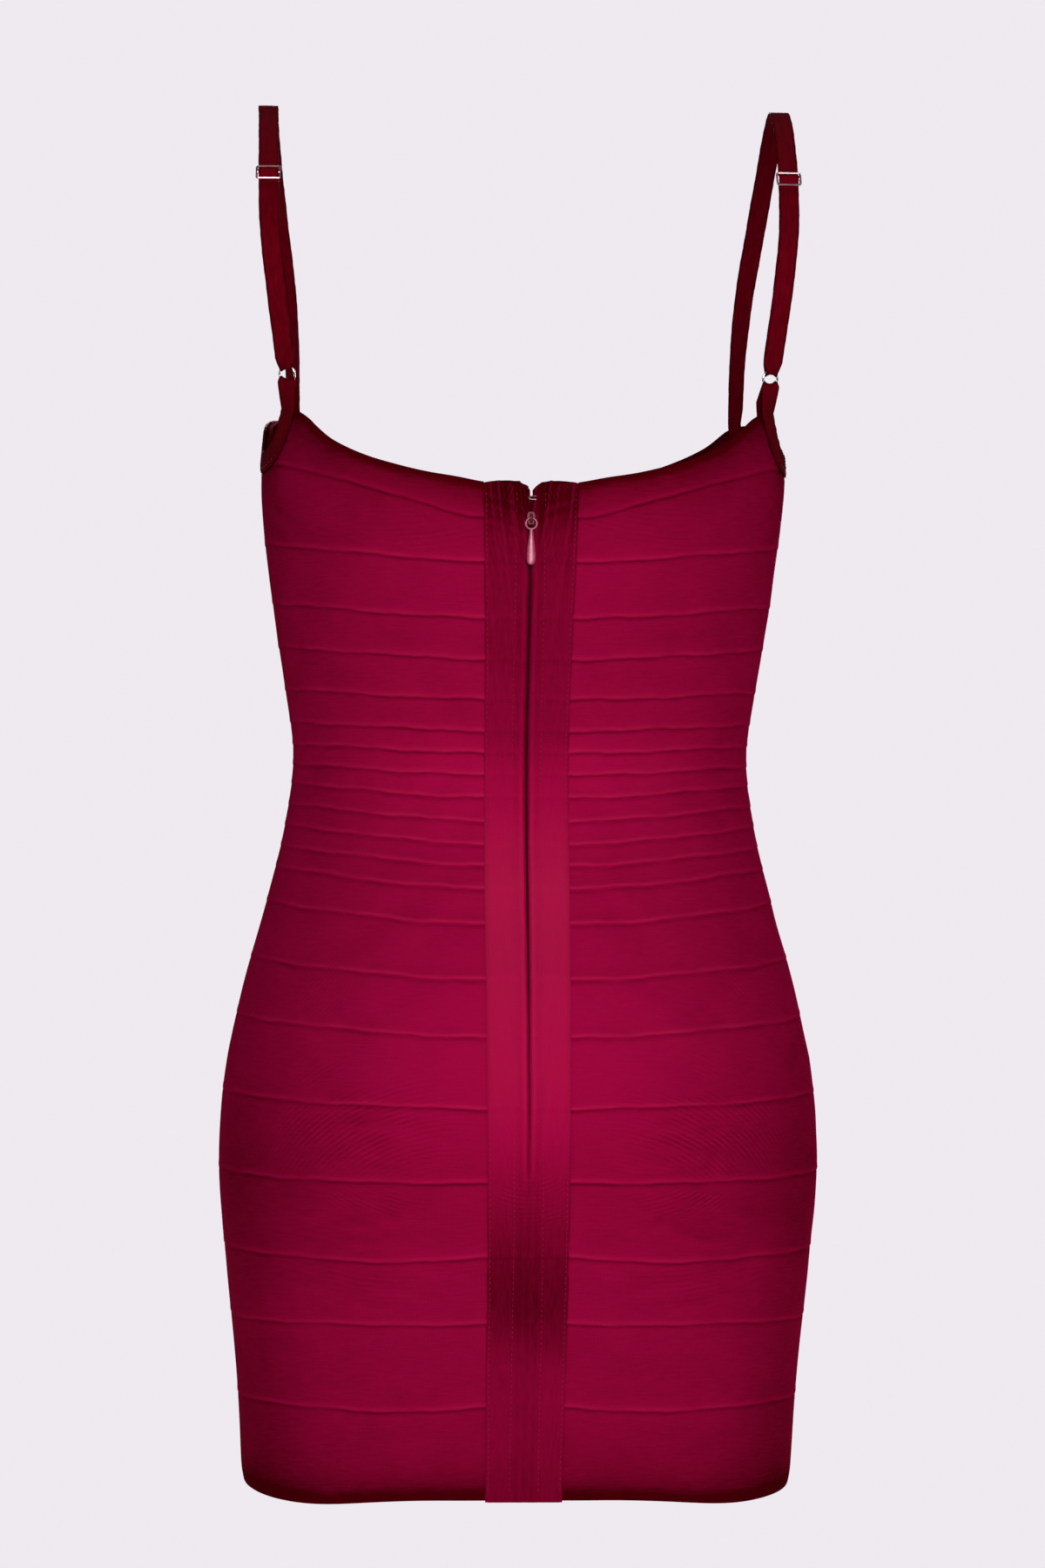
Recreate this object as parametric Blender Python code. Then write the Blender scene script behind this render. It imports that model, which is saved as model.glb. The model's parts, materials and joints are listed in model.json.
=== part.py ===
"""A strappy bodycon dress of knitted bandage strips, in the hollow form it has when worn.

The origin is midway between the two shoulder straps, where they cross the top of the shoulders.
+Z is up, the front faces -Y and the wearer's left is +X. Tables and sizes are in millimetres.
"""

import math
from collections import namedtuple
from functools import lru_cache

import bmesh
import bpy
import numpy as np
from mathutils import Vector

MM = 0.001

# Driving dimensions of the cloth.
WALL = 2.0  # thickness of the knit
GAP = 0.3  # between one piece and the next
LEDGE = 0.6  # how far a strip's lower edge stands out over the next strip
LEDGE_DROP = 1.3  # height of that step
TALL_STRIP = 26.0  # a strip taller than this gets a row of points at mid height
PLACKET_RISE = 0.7  # the plackets stand out this far from the strips beside them
SLIT = 1.6  # between the two plackets
ELASTIC_WIDTH = 11.0
ELASTIC_THICK = 1.0
ARMHOLE_WIDTH = 11.5  # of the elastic round each armhole
TAPE_CLEAR = 1.1  # between the zip's tape and the plackets that it lies behind
TAB_CLEAR = 1.5  # between a sewn-in end and the panel that it lies behind

# The hidden zip: a tape behind the plackets, its coil between them, and a slider whose plate has
# a bridge that the ring of the pull tab hangs from.
ZIP_HINGE_Z = -231.5
HINGE_STAND_OFF = 2.6  # from the plackets out to the hinge
ZIP_ABOVE_HINGE = 12.0
ZIP_END_Z = -600.0
TAPE_WIDTH = 25.0
TAPE_THICK = 1.0
COIL_HALF = 0.4
COIL_FOOT = 0.55
COIL_RISE = 1.5
PLATE_HALF_HEIGHT = 3.6
PLATE_HALF_WIDTH = 2.3
PLATE_IN = 2.3  # from the hinge in to the back of the plate
PLATE_THICK = 1.0
BRIDGE_OUTER = 2.2
BRIDGE_INNER = 1.2
BRIDGE_FOOT = 1.8
BRIDGE_HALF_WIDTH = 0.8
STEM_HALF_HEIGHT = 2.6
STEM_IN = 3.6
STEM_HALF_WIDTH = 0.45
PULL_RING_RADIUS = 2.9
PULL_RING_WIRE = 0.7
PULL_HALF_THICK = 0.55

# The flat drop that hangs from the pull's ring: half of its width, downwards from the hinge.
Drop = namedtuple("Drop", "down half_width")
PULL_DROP = (
    Drop(6.2, 1.1), Drop(7.6, 1.15), Drop(10, 1.45), Drop(14, 1.9), Drop(18, 2.2), Drop(21, 2.25),
    Drop(23.4, 1.9), Drop(24.8, 1.0),
)

# The wire hook over the top of the slit, from its foot round its bend: sideways and down.
HOOK_WIRE = 0.35
HOOK_BELOW_NOTCH = 4.0
HOOK_STAND_OFF = 0.75
Bend = namedtuple("Bend", "across up")
HOOK = (
    Bend(-2.6, -0.9), Bend(-1.2, -0.9), Bend(0.6, -0.7), Bend(1.6, 0), Bend(0.6, 0.7), Bend(-1.2, 0.9),
    Bend(-2.6, 0.9),
)

# The straps' metal rings and sliders.
RING_RADIUS = 4.35
RING_WIRE = 0.6
SLIDER_BAR = 0.6
SLIDER_CORNER = 1.0
SLIDER_RISE = 1.45  # the slider's wires above the strap's middle line

# The dress in level sections: half of its width, and its depth behind and in front of the straps.
# Squareness 2 is an ellipse, and more is boxier.
Section = namedtuple("Section", "z half_width back front squareness")
SECTIONS = (
    Section(-140, 140.0, 84, 96, 3.7),
    Section(-180, 143.0, 90, 108, 3.6),
    Section(-210, 144.8, 93, 112, 3.2),
    Section(-240, 142.6, 91, 112, 2.7),
    Section(-280, 137.4, 83, 101, 2.5),
    Section(-320, 131.2, 71, 91, 2.4),
    Section(-358, 126.2, 62, 87, 2.3),
    Section(-400, 131.0, 67, 90, 2.3),
    Section(-440, 140.5, 80, 97, 2.35),
    Section(-490, 154.0, 98, 103, 2.4),
    Section(-540, 163.6, 109, 104, 2.45),
    Section(-585, 166.0, 111, 100, 2.5),
    Section(-640, 161.6, 105, 93, 2.6),
    Section(-700, 155.6, 90, 85, 2.7),
    Section(-775, 151.4, 77, 79, 2.8),
)

# Each cup is a soft swelling of the front.
CUP_OUT = 20.0
CUP_X = 68.0
CUP_Z = -236.0
CUP_SPREAD_X = 40.0
CUP_SPREAD_ABOVE = 44.0
CUP_SPREAD_BELOW = 34.0
CUP_BLEND = 0.1  # how softly it passes into the side
CUP_MERGE = 14.0  # and, near the centre line, into the other cup

# The top edge, and the seam under the first strip. Round runs from 0 at the centre of the back
# through 1 at the side seam to 2 at the centre of the front.
Edge = namedtuple("Edge", "round top first_seam")
TOP_EDGE = (
    Edge(0.00, -212.5, -232.5),
    Edge(0.12, -212.0, -231.5),
    Edge(0.20, -209.0, -229.3),
    Edge(0.28, -206.3, -225.0),
    Edge(0.36, -202.4, -220.0),
    Edge(0.44, -197.5, -215.0),
    Edge(0.53, -189.2, -209.7),
    Edge(0.641, -173.6, -204.8),
    Edge(0.708, -171.4, -202.6),
    Edge(0.726, -180.5, -202.2),
    Edge(0.750, -187.7, -202.0),
    Edge(0.79, -191.5, -202.0),
    Edge(0.86, -193.0, -203.5),
    Edge(0.93, -191.0, -203.5),
    Edge(1.00, -186.5, -202.0),
    Edge(1.05, -181.5, -202.0),
    Edge(1.12, -176.0, -202.0),
    Edge(1.22, -171.0, -202.0),
    Edge(1.33, -168.5, -203.0),
    Edge(1.39, -169.5, -205.0),
    Edge(1.48, -180.0, -209.5),
    Edge(1.60, -190.0, -215.0),
    Edge(1.78, -198.0, -222.0),
    Edge(2.00, -208.0, -230.0),
)
BACK_CORNER, BACK_CORNER_OUTER = 0.641, 0.708
FRONT_CORNER_OUTER, FRONT_CORNER = 1.33, 1.39
ARMHOLE_END = 0.8  # the back's edge curves sharply between its corner and here

# The seams between strips below that, at the centre, and how far each climbs towards the sides.
Seam = namedtuple("Seam", "z climb")
SEAMS = (
    Seam(-255.5, 12), Seam(-286, 10), Seam(-308, 8), Seam(-329.5, 6), Seam(-346.5, 5), Seam(-358.5, 5),
    Seam(-370.5, 6), Seam(-383, 8), Seam(-395.5, 9), Seam(-408, 10), Seam(-419.5, 10), Seam(-432, 11),
    Seam(-451, 11), Seam(-480.5, 10), Seam(-511, 9), Seam(-549, 5), Seam(-588, 1), Seam(-628, -3),
    Seam(-665, -2), Seam(-710.5, -2),
)
HEM_Z = -762.0
HEM_DIP = 4.0  # the hem hangs lower behind and before each thigh
HEM_RISE = 4.5  # and is higher at the side seams

# Half of the width of the two plackets together, over their height.
Placket = namedtuple("Placket", "z half_width")
PLACKETS = (
    Placket(-205, 25.6), Placket(-235, 25.0), Placket(-300, 23.4), Placket(-450, 22.6),
    Placket(-600, 21.8), Placket(-775, 20.4),
)
PLACKET_PUFF = 1.4  # each placket's top puffs up between its edge and the zip
NOTCH = 4.0  # and falls this far at the zip

# A strap's middle line on the wearer's left, from the front corner over the shoulder to the ring,
# with the turn of its face towards the side, in degrees.
Strap = namedtuple("Strap", "x y z turn")
STRAP = (
    Strap(126.8, -75.3, -160.0, -48),
    Strap(127.4, -73.5, -135.0, -42),
    Strap(130.5, -67.5, -96.0, -25),
    Strap(135.5, -56.0, -60.0, -11),
    Strap(139.8, -38.0, -26.0, -3),
    Strap(141.7, -18.5, -5.6, 0),
    Strap(142.2, 0.0, 0.6, 0),
    Strap(142.0, 21.0, -6.5, 0),
    Strap(142.0, 42.0, -24.0, 1),
    Strap(142.0, 56.0, -43.5, 3),
    Strap(141.4, 67.0, -71.0, 8),
    Strap(137.5, 72.5, -108.0, 13),
    Strap(133.5, 70.0, -139.0, 20),
    Strap(132.2, 68.6, -149.0, 22),
)
SLIDER_ROW = 9  # the row of STRAP where its slider sits
SLIDER_HALF_HEIGHT = 3.8
SLIDER_HALF_WIDTH = 6.4
RING_NECK = 4.2  # the elastic's width where it turns round a ring
NECK_LENGTH = 9.0  # over which it narrows to that
WRAP = 2.05  # radius of its middle as it turns
LAYER = 1.3  # from the middle of one layer of a doubled strap to the middle of the other

# Where the strap rises over the slider's middle bar: places along it, and heights.
Rise = namedtuple("Rise", "along height")
HUMP = (
    Rise(-3.4, 0), Rise(-1.6, 1.6), Rise(-0.8, 2.85), Rise(0.8, 2.85), Rise(1.6, 1.6), Rise(3.4, 0),
)

COLOURS = {
    "knit": ((0.150, 0.003, 0.022), 0.75, 0.0),
    "placket knit": ((0.165, 0.004, 0.026), 0.62, 0.0),
    "satin elastic": ((0.070, 0.002, 0.009), 0.45, 0.0),
    "steel": ((0.62, 0.60, 0.60), 0.22, 1.0),
    "rose metal": ((0.46, 0.26, 0.27), 0.3, 1.0),
    "painted metal": ((0.36, 0.03, 0.09), 0.3, 0.2),
    "zip tape": ((0.080, 0.002, 0.012), 0.8, 0.0),
}


def curve(xs, ys, level_ends=False):
    """A smooth curve through the points (xs, ys), as a function."""
    xs, ys = np.asarray(xs, float), np.asarray(ys, float)
    slopes = np.gradient(ys, xs)
    if level_ends:
        slopes[0] = slopes[-1] = 0

    def at(x):
        x = np.clip(x, xs[0], xs[-1])
        i = np.clip(np.searchsorted(xs, x) - 1, 0, len(xs) - 2)
        step = xs[i + 1] - xs[i]
        t = (x - xs[i]) / step
        ends = ys[i] * (1 + 2 * t) * (1 - t) ** 2 + ys[i + 1] * t * t * (3 - 2 * t)
        return ends + step * (slopes[i] * t * (1 - t) ** 2 - slopes[i + 1] * t * t * (1 - t))

    return at


def column(table, name, key, level_ends=False):
    """The curve of one named column of a table over another, which may run downwards."""
    rows = sorted(table, key=lambda row: getattr(row, key))
    return curve([getattr(row, key) for row in rows], [getattr(row, name) for row in rows], level_ends)


half_width_at = column(SECTIONS, "half_width", "z")
back_at = column(SECTIONS, "back", "z")
front_at = column(SECTIONS, "front", "z")
squareness_at = column(SECTIONS, "squareness", "z")
top_at = column(TOP_EDGE, "top", "round", level_ends=True)
first_seam_at = column(TOP_EDGE, "first_seam", "round", level_ends=True)
placket_at = column(PLACKETS, "half_width", "z")


# --- the form of the dress ---


@lru_cache(maxsize=None)
def quarter(z, in_front):
    """A quarter of the section at level z, from the centre line to the side: lengths, x and y."""
    width = half_width_at(z)
    depth = front_at(z) if in_front else back_at(z)
    power = 2 / squareness_at(z)
    turn = np.linspace(0, math.pi / 2, 240)
    x = width * np.sin(turn) ** power
    y = depth * np.cos(turn) ** power
    steps = np.hypot(np.diff(x), np.diff(y))
    return np.concatenate([[0], np.cumsum(steps)]), x, -y if in_front else y


def quarter_length(z, in_front=False):
    return quarter(round(float(z), 2), in_front)[0][-1]


def skin(round_, z):
    """The point of the dress's outer skin, round_ of the way round on the left half, at level z."""
    in_front = round_ > 1
    share = 2 - round_ if in_front else round_
    lengths, xs, ys = quarter(round(float(z), 2), in_front)
    along = share * lengths[-1]
    x, y = np.interp(along, lengths, xs), np.interp(along, lengths, ys)
    if in_front:
        spread = CUP_SPREAD_ABOVE if z > CUP_Z else CUP_SPREAD_BELOW
        aside = math.hypot(x, CUP_MERGE)
        fall = ((aside - CUP_X) / CUP_SPREAD_X) ** 2 + ((z - CUP_Z) / spread) ** 2
        inwards = 2 * (1 - abs(x) / (half_width_at(z) + 1))
        swell = -CUP_BLEND * math.log(math.exp(-1 / CUP_BLEND) + math.exp(-inwards / CUP_BLEND))
        y -= CUP_OUT * math.exp(-fall / 2) * swell
    return Vector((x, y, z))


def outward(round_, z):
    """The outward direction of the skin there."""
    near = 0.012
    low, high = max(0.0, round_ - near), min(2.0, round_ + near)
    across = skin(high, z) - skin(low, z)
    if low == 0.0 or high == 2.0:
        across = Vector((across.x, 0, 0))
    upward = skin(round_, z + 2) - skin(round_, z - 2)
    return across.cross(upward).normalized() * -1


def place(round_, z, out, side):
    """A point moved out from the skin, on the left (side 1) or right (side -1) half."""
    point = skin(round_, z) + outward(round_, z) * out
    return Vector((point.x * side, point.y, point.z))


def seam_at(seam, round_):
    """The level of a seam between strips: it climbs from the centre lines to the sides."""
    return seam.z + seam.climb * math.sin(math.pi / 2 * min(round_, 2 - round_)) ** 2.5


def hem_at(round_):
    share = min(round_, 2 - round_)
    return HEM_Z - HEM_DIP * math.exp(-(((share - 0.62) / 0.2) ** 2)) + HEM_RISE * share**6


def strip_rows(round_):
    """The levels of a panel's outer points from the top edge to the hem, and how far out each is."""
    ends = [first_seam_at(round_)] + [seam_at(seam, round_) for seam in SEAMS] + [hem_at(round_)]
    rows = [(float(top_at(round_)), 0.0)]
    for i, end in enumerate(ends):
        start = rows[-1][0]
        if i in TALL:
            rows.append(((start + end) / 2, LEDGE * 0.7))
        rows.append((float(end), LEDGE))
        if i < len(ends) - 1:
            rows.append((float(end) - LEDGE_DROP, 0.0))
    return rows


CENTRE_ENDS = [TOP_EDGE[0].top, TOP_EDGE[0].first_seam] + [seam.z for seam in SEAMS] + [HEM_Z]
TALL = {i for i, (a, b) in enumerate(zip(CENTRE_ENDS, CENTRE_ENDS[1:])) if a - b > TALL_STRIP}


# --- making meshes ---


def material(name):
    found = bpy.data.materials.get(name)
    if found:
        return found
    colour, roughness, metallic = COLOURS[name]
    made = bpy.data.materials.new(name)
    made.use_nodes = True
    shader = made.node_tree.nodes["Principled BSDF"]
    shader.inputs["Base Color"].default_value = (*colour, 1)
    shader.inputs["Roughness"].default_value = roughness
    shader.inputs["Metallic"].default_value = metallic
    made.diffuse_color = (*colour, 1)
    return made


def add_object(name, bm, finish, sharp=40):
    """An object from a closed bmesh whose points are in millimetres."""
    bmesh.ops.recalc_face_normals(bm, faces=bm.faces)
    bmesh.ops.scale(bm, vec=(MM, MM, MM), verts=bm.verts)
    mesh = bpy.data.meshes.new(name)
    bm.to_mesh(mesh)
    bm.free()
    mesh.shade_smooth()
    mesh.set_sharp_from_angle(angle=math.radians(sharp))
    mesh.materials.append(material(finish))
    made = bpy.data.objects.new(name, mesh)
    bpy.context.scene.collection.objects.link(made)
    return made


def ladder(bm, left, right):
    """Faces between two lines of points that start and end side by side, however many each has."""
    i = j = 0
    while i < len(left) - 1 or j < len(right) - 1:
        left_done, right_done = i == len(left) - 1, j == len(right) - 1
        left_next = math.inf if left_done else (left[i + 1].co - right[j].co).length
        right_next = math.inf if right_done else (right[j + 1].co - left[i].co).length
        if left_next <= right_next:
            bm.faces.new((left[i], left[i + 1], right[j]))
            i += 1
        else:
            bm.faces.new((left[i], right[j + 1], right[j]))
            j += 1


def wall(name, outer, inner, finish):
    """A closed wall between two grids of points, each a list of columns that run downwards."""
    bm = bmesh.new()
    outside = [[bm.verts.new(point) for point in line] for line in outer]
    inside = [[bm.verts.new(point) for point in line] for line in inner]
    for grid in (outside, inside):
        for near, far in zip(grid, grid[1:]):
            for a, b, c, d in zip(near, far, far[1:], near[1:]):
                bm.faces.new((a, b, c, d))
    for end in (0, -1):
        ladder(bm, outside[end], inside[end])
        for k in range(len(outside) - 1):
            here, there = outside[k][end], outside[k + 1][end]
            bm.faces.new((here, there, inside[k + 1][end], inside[k][end]))
    return add_object(name, bm, finish)


def mirrored(vector, side):
    return Vector((vector.x * side, vector.y, vector.z))


def ribbon(name, stations, side, finish="satin elastic", thick=ELASTIC_THICK):
    """A closed flat band through stations of (middle, direction across, width) on the left, or mirrored."""
    bm = bmesh.new()
    loops = []
    middles = [middle for middle, _, _ in stations]
    for i, (middle, across, width) in enumerate(stations):
        along = middles[min(i + 1, len(middles) - 1)] - middles[max(i - 1, 0)]
        face = across.cross(along).normalized() * thick / 2
        across = along.cross(face).normalized() * width / 2
        corners = (across + face, -across + face, -across - face, across - face)
        loops.append([bm.verts.new(mirrored(middle + corner, side)) for corner in corners])
    for near, far in zip(loops, loops[1:]):
        for k in range(4):
            bm.faces.new((near[k], near[k - 1], far[k - 1], far[k]))
    bm.faces.new(loops[0])
    bm.faces.new(loops[-1])
    return add_object(name, bm, finish)


def tube(bm, path, radius, sides=8, closed=False):
    """A round wire along a path, added to the bmesh."""
    loops = []
    count = len(path)
    across = None
    for i, middle in enumerate(path):
        before = path[(i - 1) % count] if closed else path[max(i - 1, 0)]
        after = path[(i + 1) % count] if closed else path[min(i + 1, count - 1)]
        along = (after - before).normalized()
        guide = across if across else Vector((0.31, 0.87, 0.38))
        across = (guide - along * guide.dot(along)).normalized()
        up = along.cross(across)
        turns = [2 * math.pi * k / sides for k in range(sides)]
        spokes = [(across * math.cos(t) + up * math.sin(t)) * radius for t in turns]
        loops.append([bm.verts.new(middle + spoke) for spoke in spokes])
    pairs = zip(loops, loops[1:] + loops[:1]) if closed else zip(loops, loops[1:])
    for near, far in pairs:
        # A closed path may come back turned, so each loop is joined from its nearest point.
        shift = min(range(sides), key=lambda s: (near[0].co - far[s].co).length)
        for k in range(sides):
            bm.faces.new((near[k], near[k - 1], far[(k - 1 + shift) % sides], far[(k + shift) % sides]))
    if not closed:
        bm.faces.new(loops[0])
        bm.faces.new(loops[-1])


def ring(middle, across, down, radius, wire, count=24):
    """A round wire ring in the plane of across and down, as a bmesh."""
    bm = bmesh.new()
    turns = [2 * math.pi * k / count for k in range(count)]
    path = [middle + across * radius * math.sin(t) - down * radius * math.cos(t) for t in turns]
    tube(bm, path, wire, closed=True)
    return bm


def prism(bm, outline, to_point, half):
    """A flat outline given thickness: to_point(a, b, offset) places each of its points."""
    near = [bm.verts.new(to_point(a, b, -half)) for a, b in outline]
    far = [bm.verts.new(to_point(a, b, half)) for a, b in outline]
    for k in range(len(outline)):
        bm.faces.new((near[k - 1], near[k], far[k], far[k - 1]))
    bm.faces.new(near)
    bm.faces.new(far)


def joined(name, bmeshes, finish):
    """Overlapping closed shapes made one body."""
    parts = [add_object(f"{name}_{i}", bm, finish) for i, bm in enumerate(bmeshes)]
    body = parts[0]
    for other in parts[1:]:
        union = body.modifiers.new("join", "BOOLEAN")
        union.operation = "UNION"
        union.object = other
    bpy.context.view_layer.update()
    graph = bpy.context.evaluated_depsgraph_get()
    mesh = bpy.data.meshes.new_from_object(body.evaluated_get(graph))
    for part in parts:
        bpy.data.objects.remove(part)
    made = bpy.data.objects.new(name, mesh)
    made.data.shade_smooth()
    made.data.set_sharp_from_angle(angle=math.radians(40))
    bpy.context.scene.collection.objects.link(made)
    return made


# --- the panels ---


def shares(count, extra=()):
    """Even shares from 0 to 1 with any extra ones, those that an extra one crowds left out."""
    even = [i / count for i in range(count + 1)]
    kept = [s for s in even if s in (0, 1) or all(abs(s - e) > 0.45 / count for e in extra)]
    return sorted([*kept, *extra])


def inner_levels(rows, count=17):
    """Fewer levels for a plain inner face, between the same top and hem."""
    return [rows[0][0] + (rows[-1][0] - rows[0][0]) * k / count for k in range(count + 1)]


def back_start(z):
    """Where the back panel begins beside its placket, as a share of the way round to the side."""
    return (placket_at(z) + GAP) / quarter_length(z)


def make_back(name, side):
    """The strips from the placket to the side seam."""
    seam_share = GAP / 2 / quarter_length(-400)
    corner_shares = [e.round for e in TOP_EDGE if BACK_CORNER <= e.round < ARMHOLE_END]
    start = back_start(TOP_EDGE[0].top)
    extra = [(c - start) / (1 - start) for c in corner_shares]
    outer, inner = [], []
    for share in shares(11, extra):

        def round_at(z, share=share):
            begin = back_start(z)
            return min(begin + (1 - begin) * share, 1 - seam_share)

        nominal = round_at(-400 if share < 0.2 else -190)
        rows = strip_rows(nominal)
        outer.append([place(round_at(z), z, out, side) for z, out in rows])
        inner.append([place(round_at(z), z, -WALL, side) for z in inner_levels(rows)])
    return wall(name, outer, inner, "knit")


def make_front():
    """One panel from side seam to side seam."""
    seam_share = GAP / 2 / quarter_length(-400, True)
    corner_rounds = [e.round - 1 for e in TOP_EDGE if 1.05 < e.round < 1.5]
    half = [max(1 + s, 1 + seam_share) for s in shares(11, corner_rounds)]
    way_round = [(r, -1) for r in half] + [(r, 1) for r in reversed(half[:-1])]
    outer, inner = [], []
    for round_, side in way_round:
        rows = strip_rows(round_)
        outer.append([place(round_, z, out, side) for z, out in rows])
        inner.append([place(round_, z, -WALL, side) for z in inner_levels(rows)])
    return wall("front", outer, inner, "knit")


def make_placket(name, side):
    """An upright strip from the zip to the back panel, its top puffed up between the two."""
    outer, inner = [], []
    for share in (0.0, 0.12, 0.3, 0.65, 1.0):
        puff = PLACKET_PUFF * math.sin(math.pi * share) ** 0.7 - NOTCH * (1 - share) ** 8
        top = float(top_at(0.05)) + puff
        hem = HEM_Z - 0.6
        levels = [top + (hem - top) * (k / 22) for k in range(23)]
        for grid, out in ((outer, PLACKET_RISE), (inner, -WALL + PLACKET_RISE)):
            edge_fall = 0.4 if grid is outer and share in (0.0, 1.0) else 0.0
            line = []
            for z in levels:
                along = SLIT / 2 + (placket_at(z) - SLIT / 2) * share
                line.append(place(along / quarter_length(z), z, out - edge_fall, side))
            grid.append(line)
    return wall(name, outer, inner, "placket knit")


# --- elastics and metalwork ---


def armhole_path():
    """Rounds and levels along the armhole's edge, from the back corner to the front one."""
    rounds = [e.round for e in TOP_EDGE if BACK_CORNER_OUTER <= e.round <= FRONT_CORNER_OUTER]
    fine = [a + (b - a) * k / 2 for a, b in zip(rounds, rounds[1:]) for k in range(2)] + [rounds[-1]]
    return [(r, float(top_at(r))) for r in fine]


def make_armhole(name, side):
    """Elastic on the outside of the armhole's edge, made from the panels' points moved out."""
    edge = armhole_path()
    to_mm = quarter_length(-185)
    flat = [Vector((r * to_mm, z)) for r, z in edge]
    outer, inner = [], []
    for i, here in enumerate(flat):
        along = (flat[min(i + 1, len(flat) - 1)] - flat[max(i - 1, 0)]).normalized()
        below = Vector((along.y, -along.x))
        if i == 0:
            # Its end follows the corner's own top edge.
            across = (BACK_CORNER - BACK_CORNER_OUTER) * to_mm
            below = Vector((across, top_at(BACK_CORNER) - here.y)).normalized()
        lines = [], []
        for k in range(4):
            point = here + below * (ARMHOLE_WIDTH * k / 3)
            for line, out in zip(lines, (LEDGE + GAP + ELASTIC_THICK, LEDGE + GAP)):
                line.append(place(point.x / to_mm, point.y, out, side))
        outer.append(lines[0])
        inner.append(lines[1])
    return wall(name, outer, inner, "satin elastic")


def strap_line(count=44):
    """Places along the strap from its slider, its middle line on the left, and its direction across."""
    spans = [math.dist((a.x, a.y, a.z), (b.x, b.y, b.z)) for a, b in zip(STRAP, STRAP[1:])]
    places = np.concatenate([[0], np.cumsum(spans)])
    places -= places[SLIDER_ROW]
    curves = [curve(places, [getattr(row, name) for row in STRAP]) for name in ("x", "y", "z", "turn")]
    even = [a for a in np.linspace(places[0], places[-1], count) if abs(a) > 5]
    found = []
    for at in sorted([*even, *(rise.along for rise in HUMP)]):
        x, y, z, turn = (float(c(at)) for c in curves)
        across = Vector((math.cos(math.radians(turn)), -math.sin(math.radians(turn)), 0))
        found.append((float(at), Vector((x, y, z)), across))
    return found


def outwards(line):
    """The outward direction at each place along the strap's line."""
    found = []
    for i, (_, _, across) in enumerate(line):
        along = line[min(i + 1, len(line) - 1)][1] - line[max(i - 1, 0)][1]
        found.append(across.cross(along).normalized())
    return found


def corner_stations(inner_round, outer_round, heights, out):
    """A band's stations at heights above a corner of the top edge, out from the skin."""
    corner = (inner_round + outer_round) / 2
    edge = float(top_at(inner_round) + top_at(outer_round)) / 2
    across = skin(outer_round, edge) - skin(inner_round, edge)
    across = Vector((across.x, across.y, 0)).normalized()
    return [(place(corner, edge + above, out, 1), across, ELASTIC_WIDTH) for above in heights]


def sewn_in(inner_round, outer_round, heights):
    """The stations of an end that is sewn behind a corner."""
    behind = -WALL - TAB_CLEAR - ELASTIC_THICK / 2
    return corner_stations(inner_round, outer_round, heights, behind)


def make_strap_set(word, side):
    """One strap with its slider, ring and ring tab."""
    line = strap_line()
    outs = outwards(line)
    end_at, end, across = line[-1]
    out = outs[-1]
    down = (end - line[-2][1]).normalized()

    def width_at(at):
        return ELASTIC_WIDTH - (ELASTIC_WIDTH - RING_NECK) * closing(at) ** 1.5

    def closing(at):
        """From 0 to 1 as the two layers close on the ring."""
        return max(0.0, 1 - (end_at - at) / NECK_LENGTH)

    spread = WRAP - LAYER / 2
    stations = sewn_in(FRONT_CORNER, FRONT_CORNER_OUTER, (-8, -3, 2))
    for (at, middle, side_way), face in zip(line, outs):
        rise = np.interp(at, [r.along for r in HUMP], [r.height for r in HUMP])
        stations.append((middle + face * (float(rise) + spread * closing(at) ** 2), side_way, width_at(at)))
    wire_top = end - out * LAYER / 2
    for k in range(1, 8):
        turn = math.pi * k / 8
        point = wire_top + out * WRAP * math.cos(turn) + down * WRAP * math.sin(turn)
        stations.append((point, across, RING_NECK))
    for (at, middle, side_way), face in reversed(list(zip(line, outs))):
        if at < 0.5:
            break
        # The second layer ends under the slider's middle bar.
        lift = -LAYER - spread * closing(at) ** 2 + max(0.0, 3 - at) / 3
        stations.append((middle + face * lift, side_way, width_at(at)))
    ribbon(f"strap_{word}", stations, side)

    ring_middle = wire_top + down * RING_RADIUS
    placed = [mirrored(vector, side) for vector in (ring_middle, across, down)]
    hoop = ring(*placed, RING_RADIUS, RING_WIRE)
    add_object(f"strap_ring_{word}", hoop, "steel")
    make_strap_slider(word, side, line, outs)
    make_ring_tab(word, side, ring_middle + down * RING_RADIUS, down, across, out)


def make_strap_slider(word, side, line, outs):
    """A frame of round wire with a middle bar that the strap rises over."""
    row = STRAP[SLIDER_ROW]
    nearest = min(range(len(line)), key=lambda i: abs(line[i][0]))
    out, across = outs[nearest], line[nearest][2]
    down = out.cross(across).normalized()
    middle = Vector((row.x, row.y, row.z)) + out * SLIDER_RISE
    path = []
    for k in range(16):
        turn = 2 * math.pi * (k + 0.5) / 16
        sideways, along = math.cos(turn), math.sin(turn)
        aside = math.copysign(SLIDER_HALF_WIDTH - SLIDER_CORNER, sideways) + SLIDER_CORNER * sideways
        below = math.copysign(SLIDER_HALF_HEIGHT - SLIDER_CORNER, along) + SLIDER_CORNER * along
        path.append(middle + across * aside + down * below)
    frame, bar = bmesh.new(), bmesh.new()
    tube(frame, [mirrored(point, side) for point in path], SLIDER_BAR, closed=True)
    reach = across * SLIDER_HALF_WIDTH
    tube(bar, [mirrored(middle + reach, side), mirrored(middle - reach, side)], SLIDER_BAR * 0.95)
    joined(f"strap_slider_{word}", [frame, bar], "rose metal")


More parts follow.
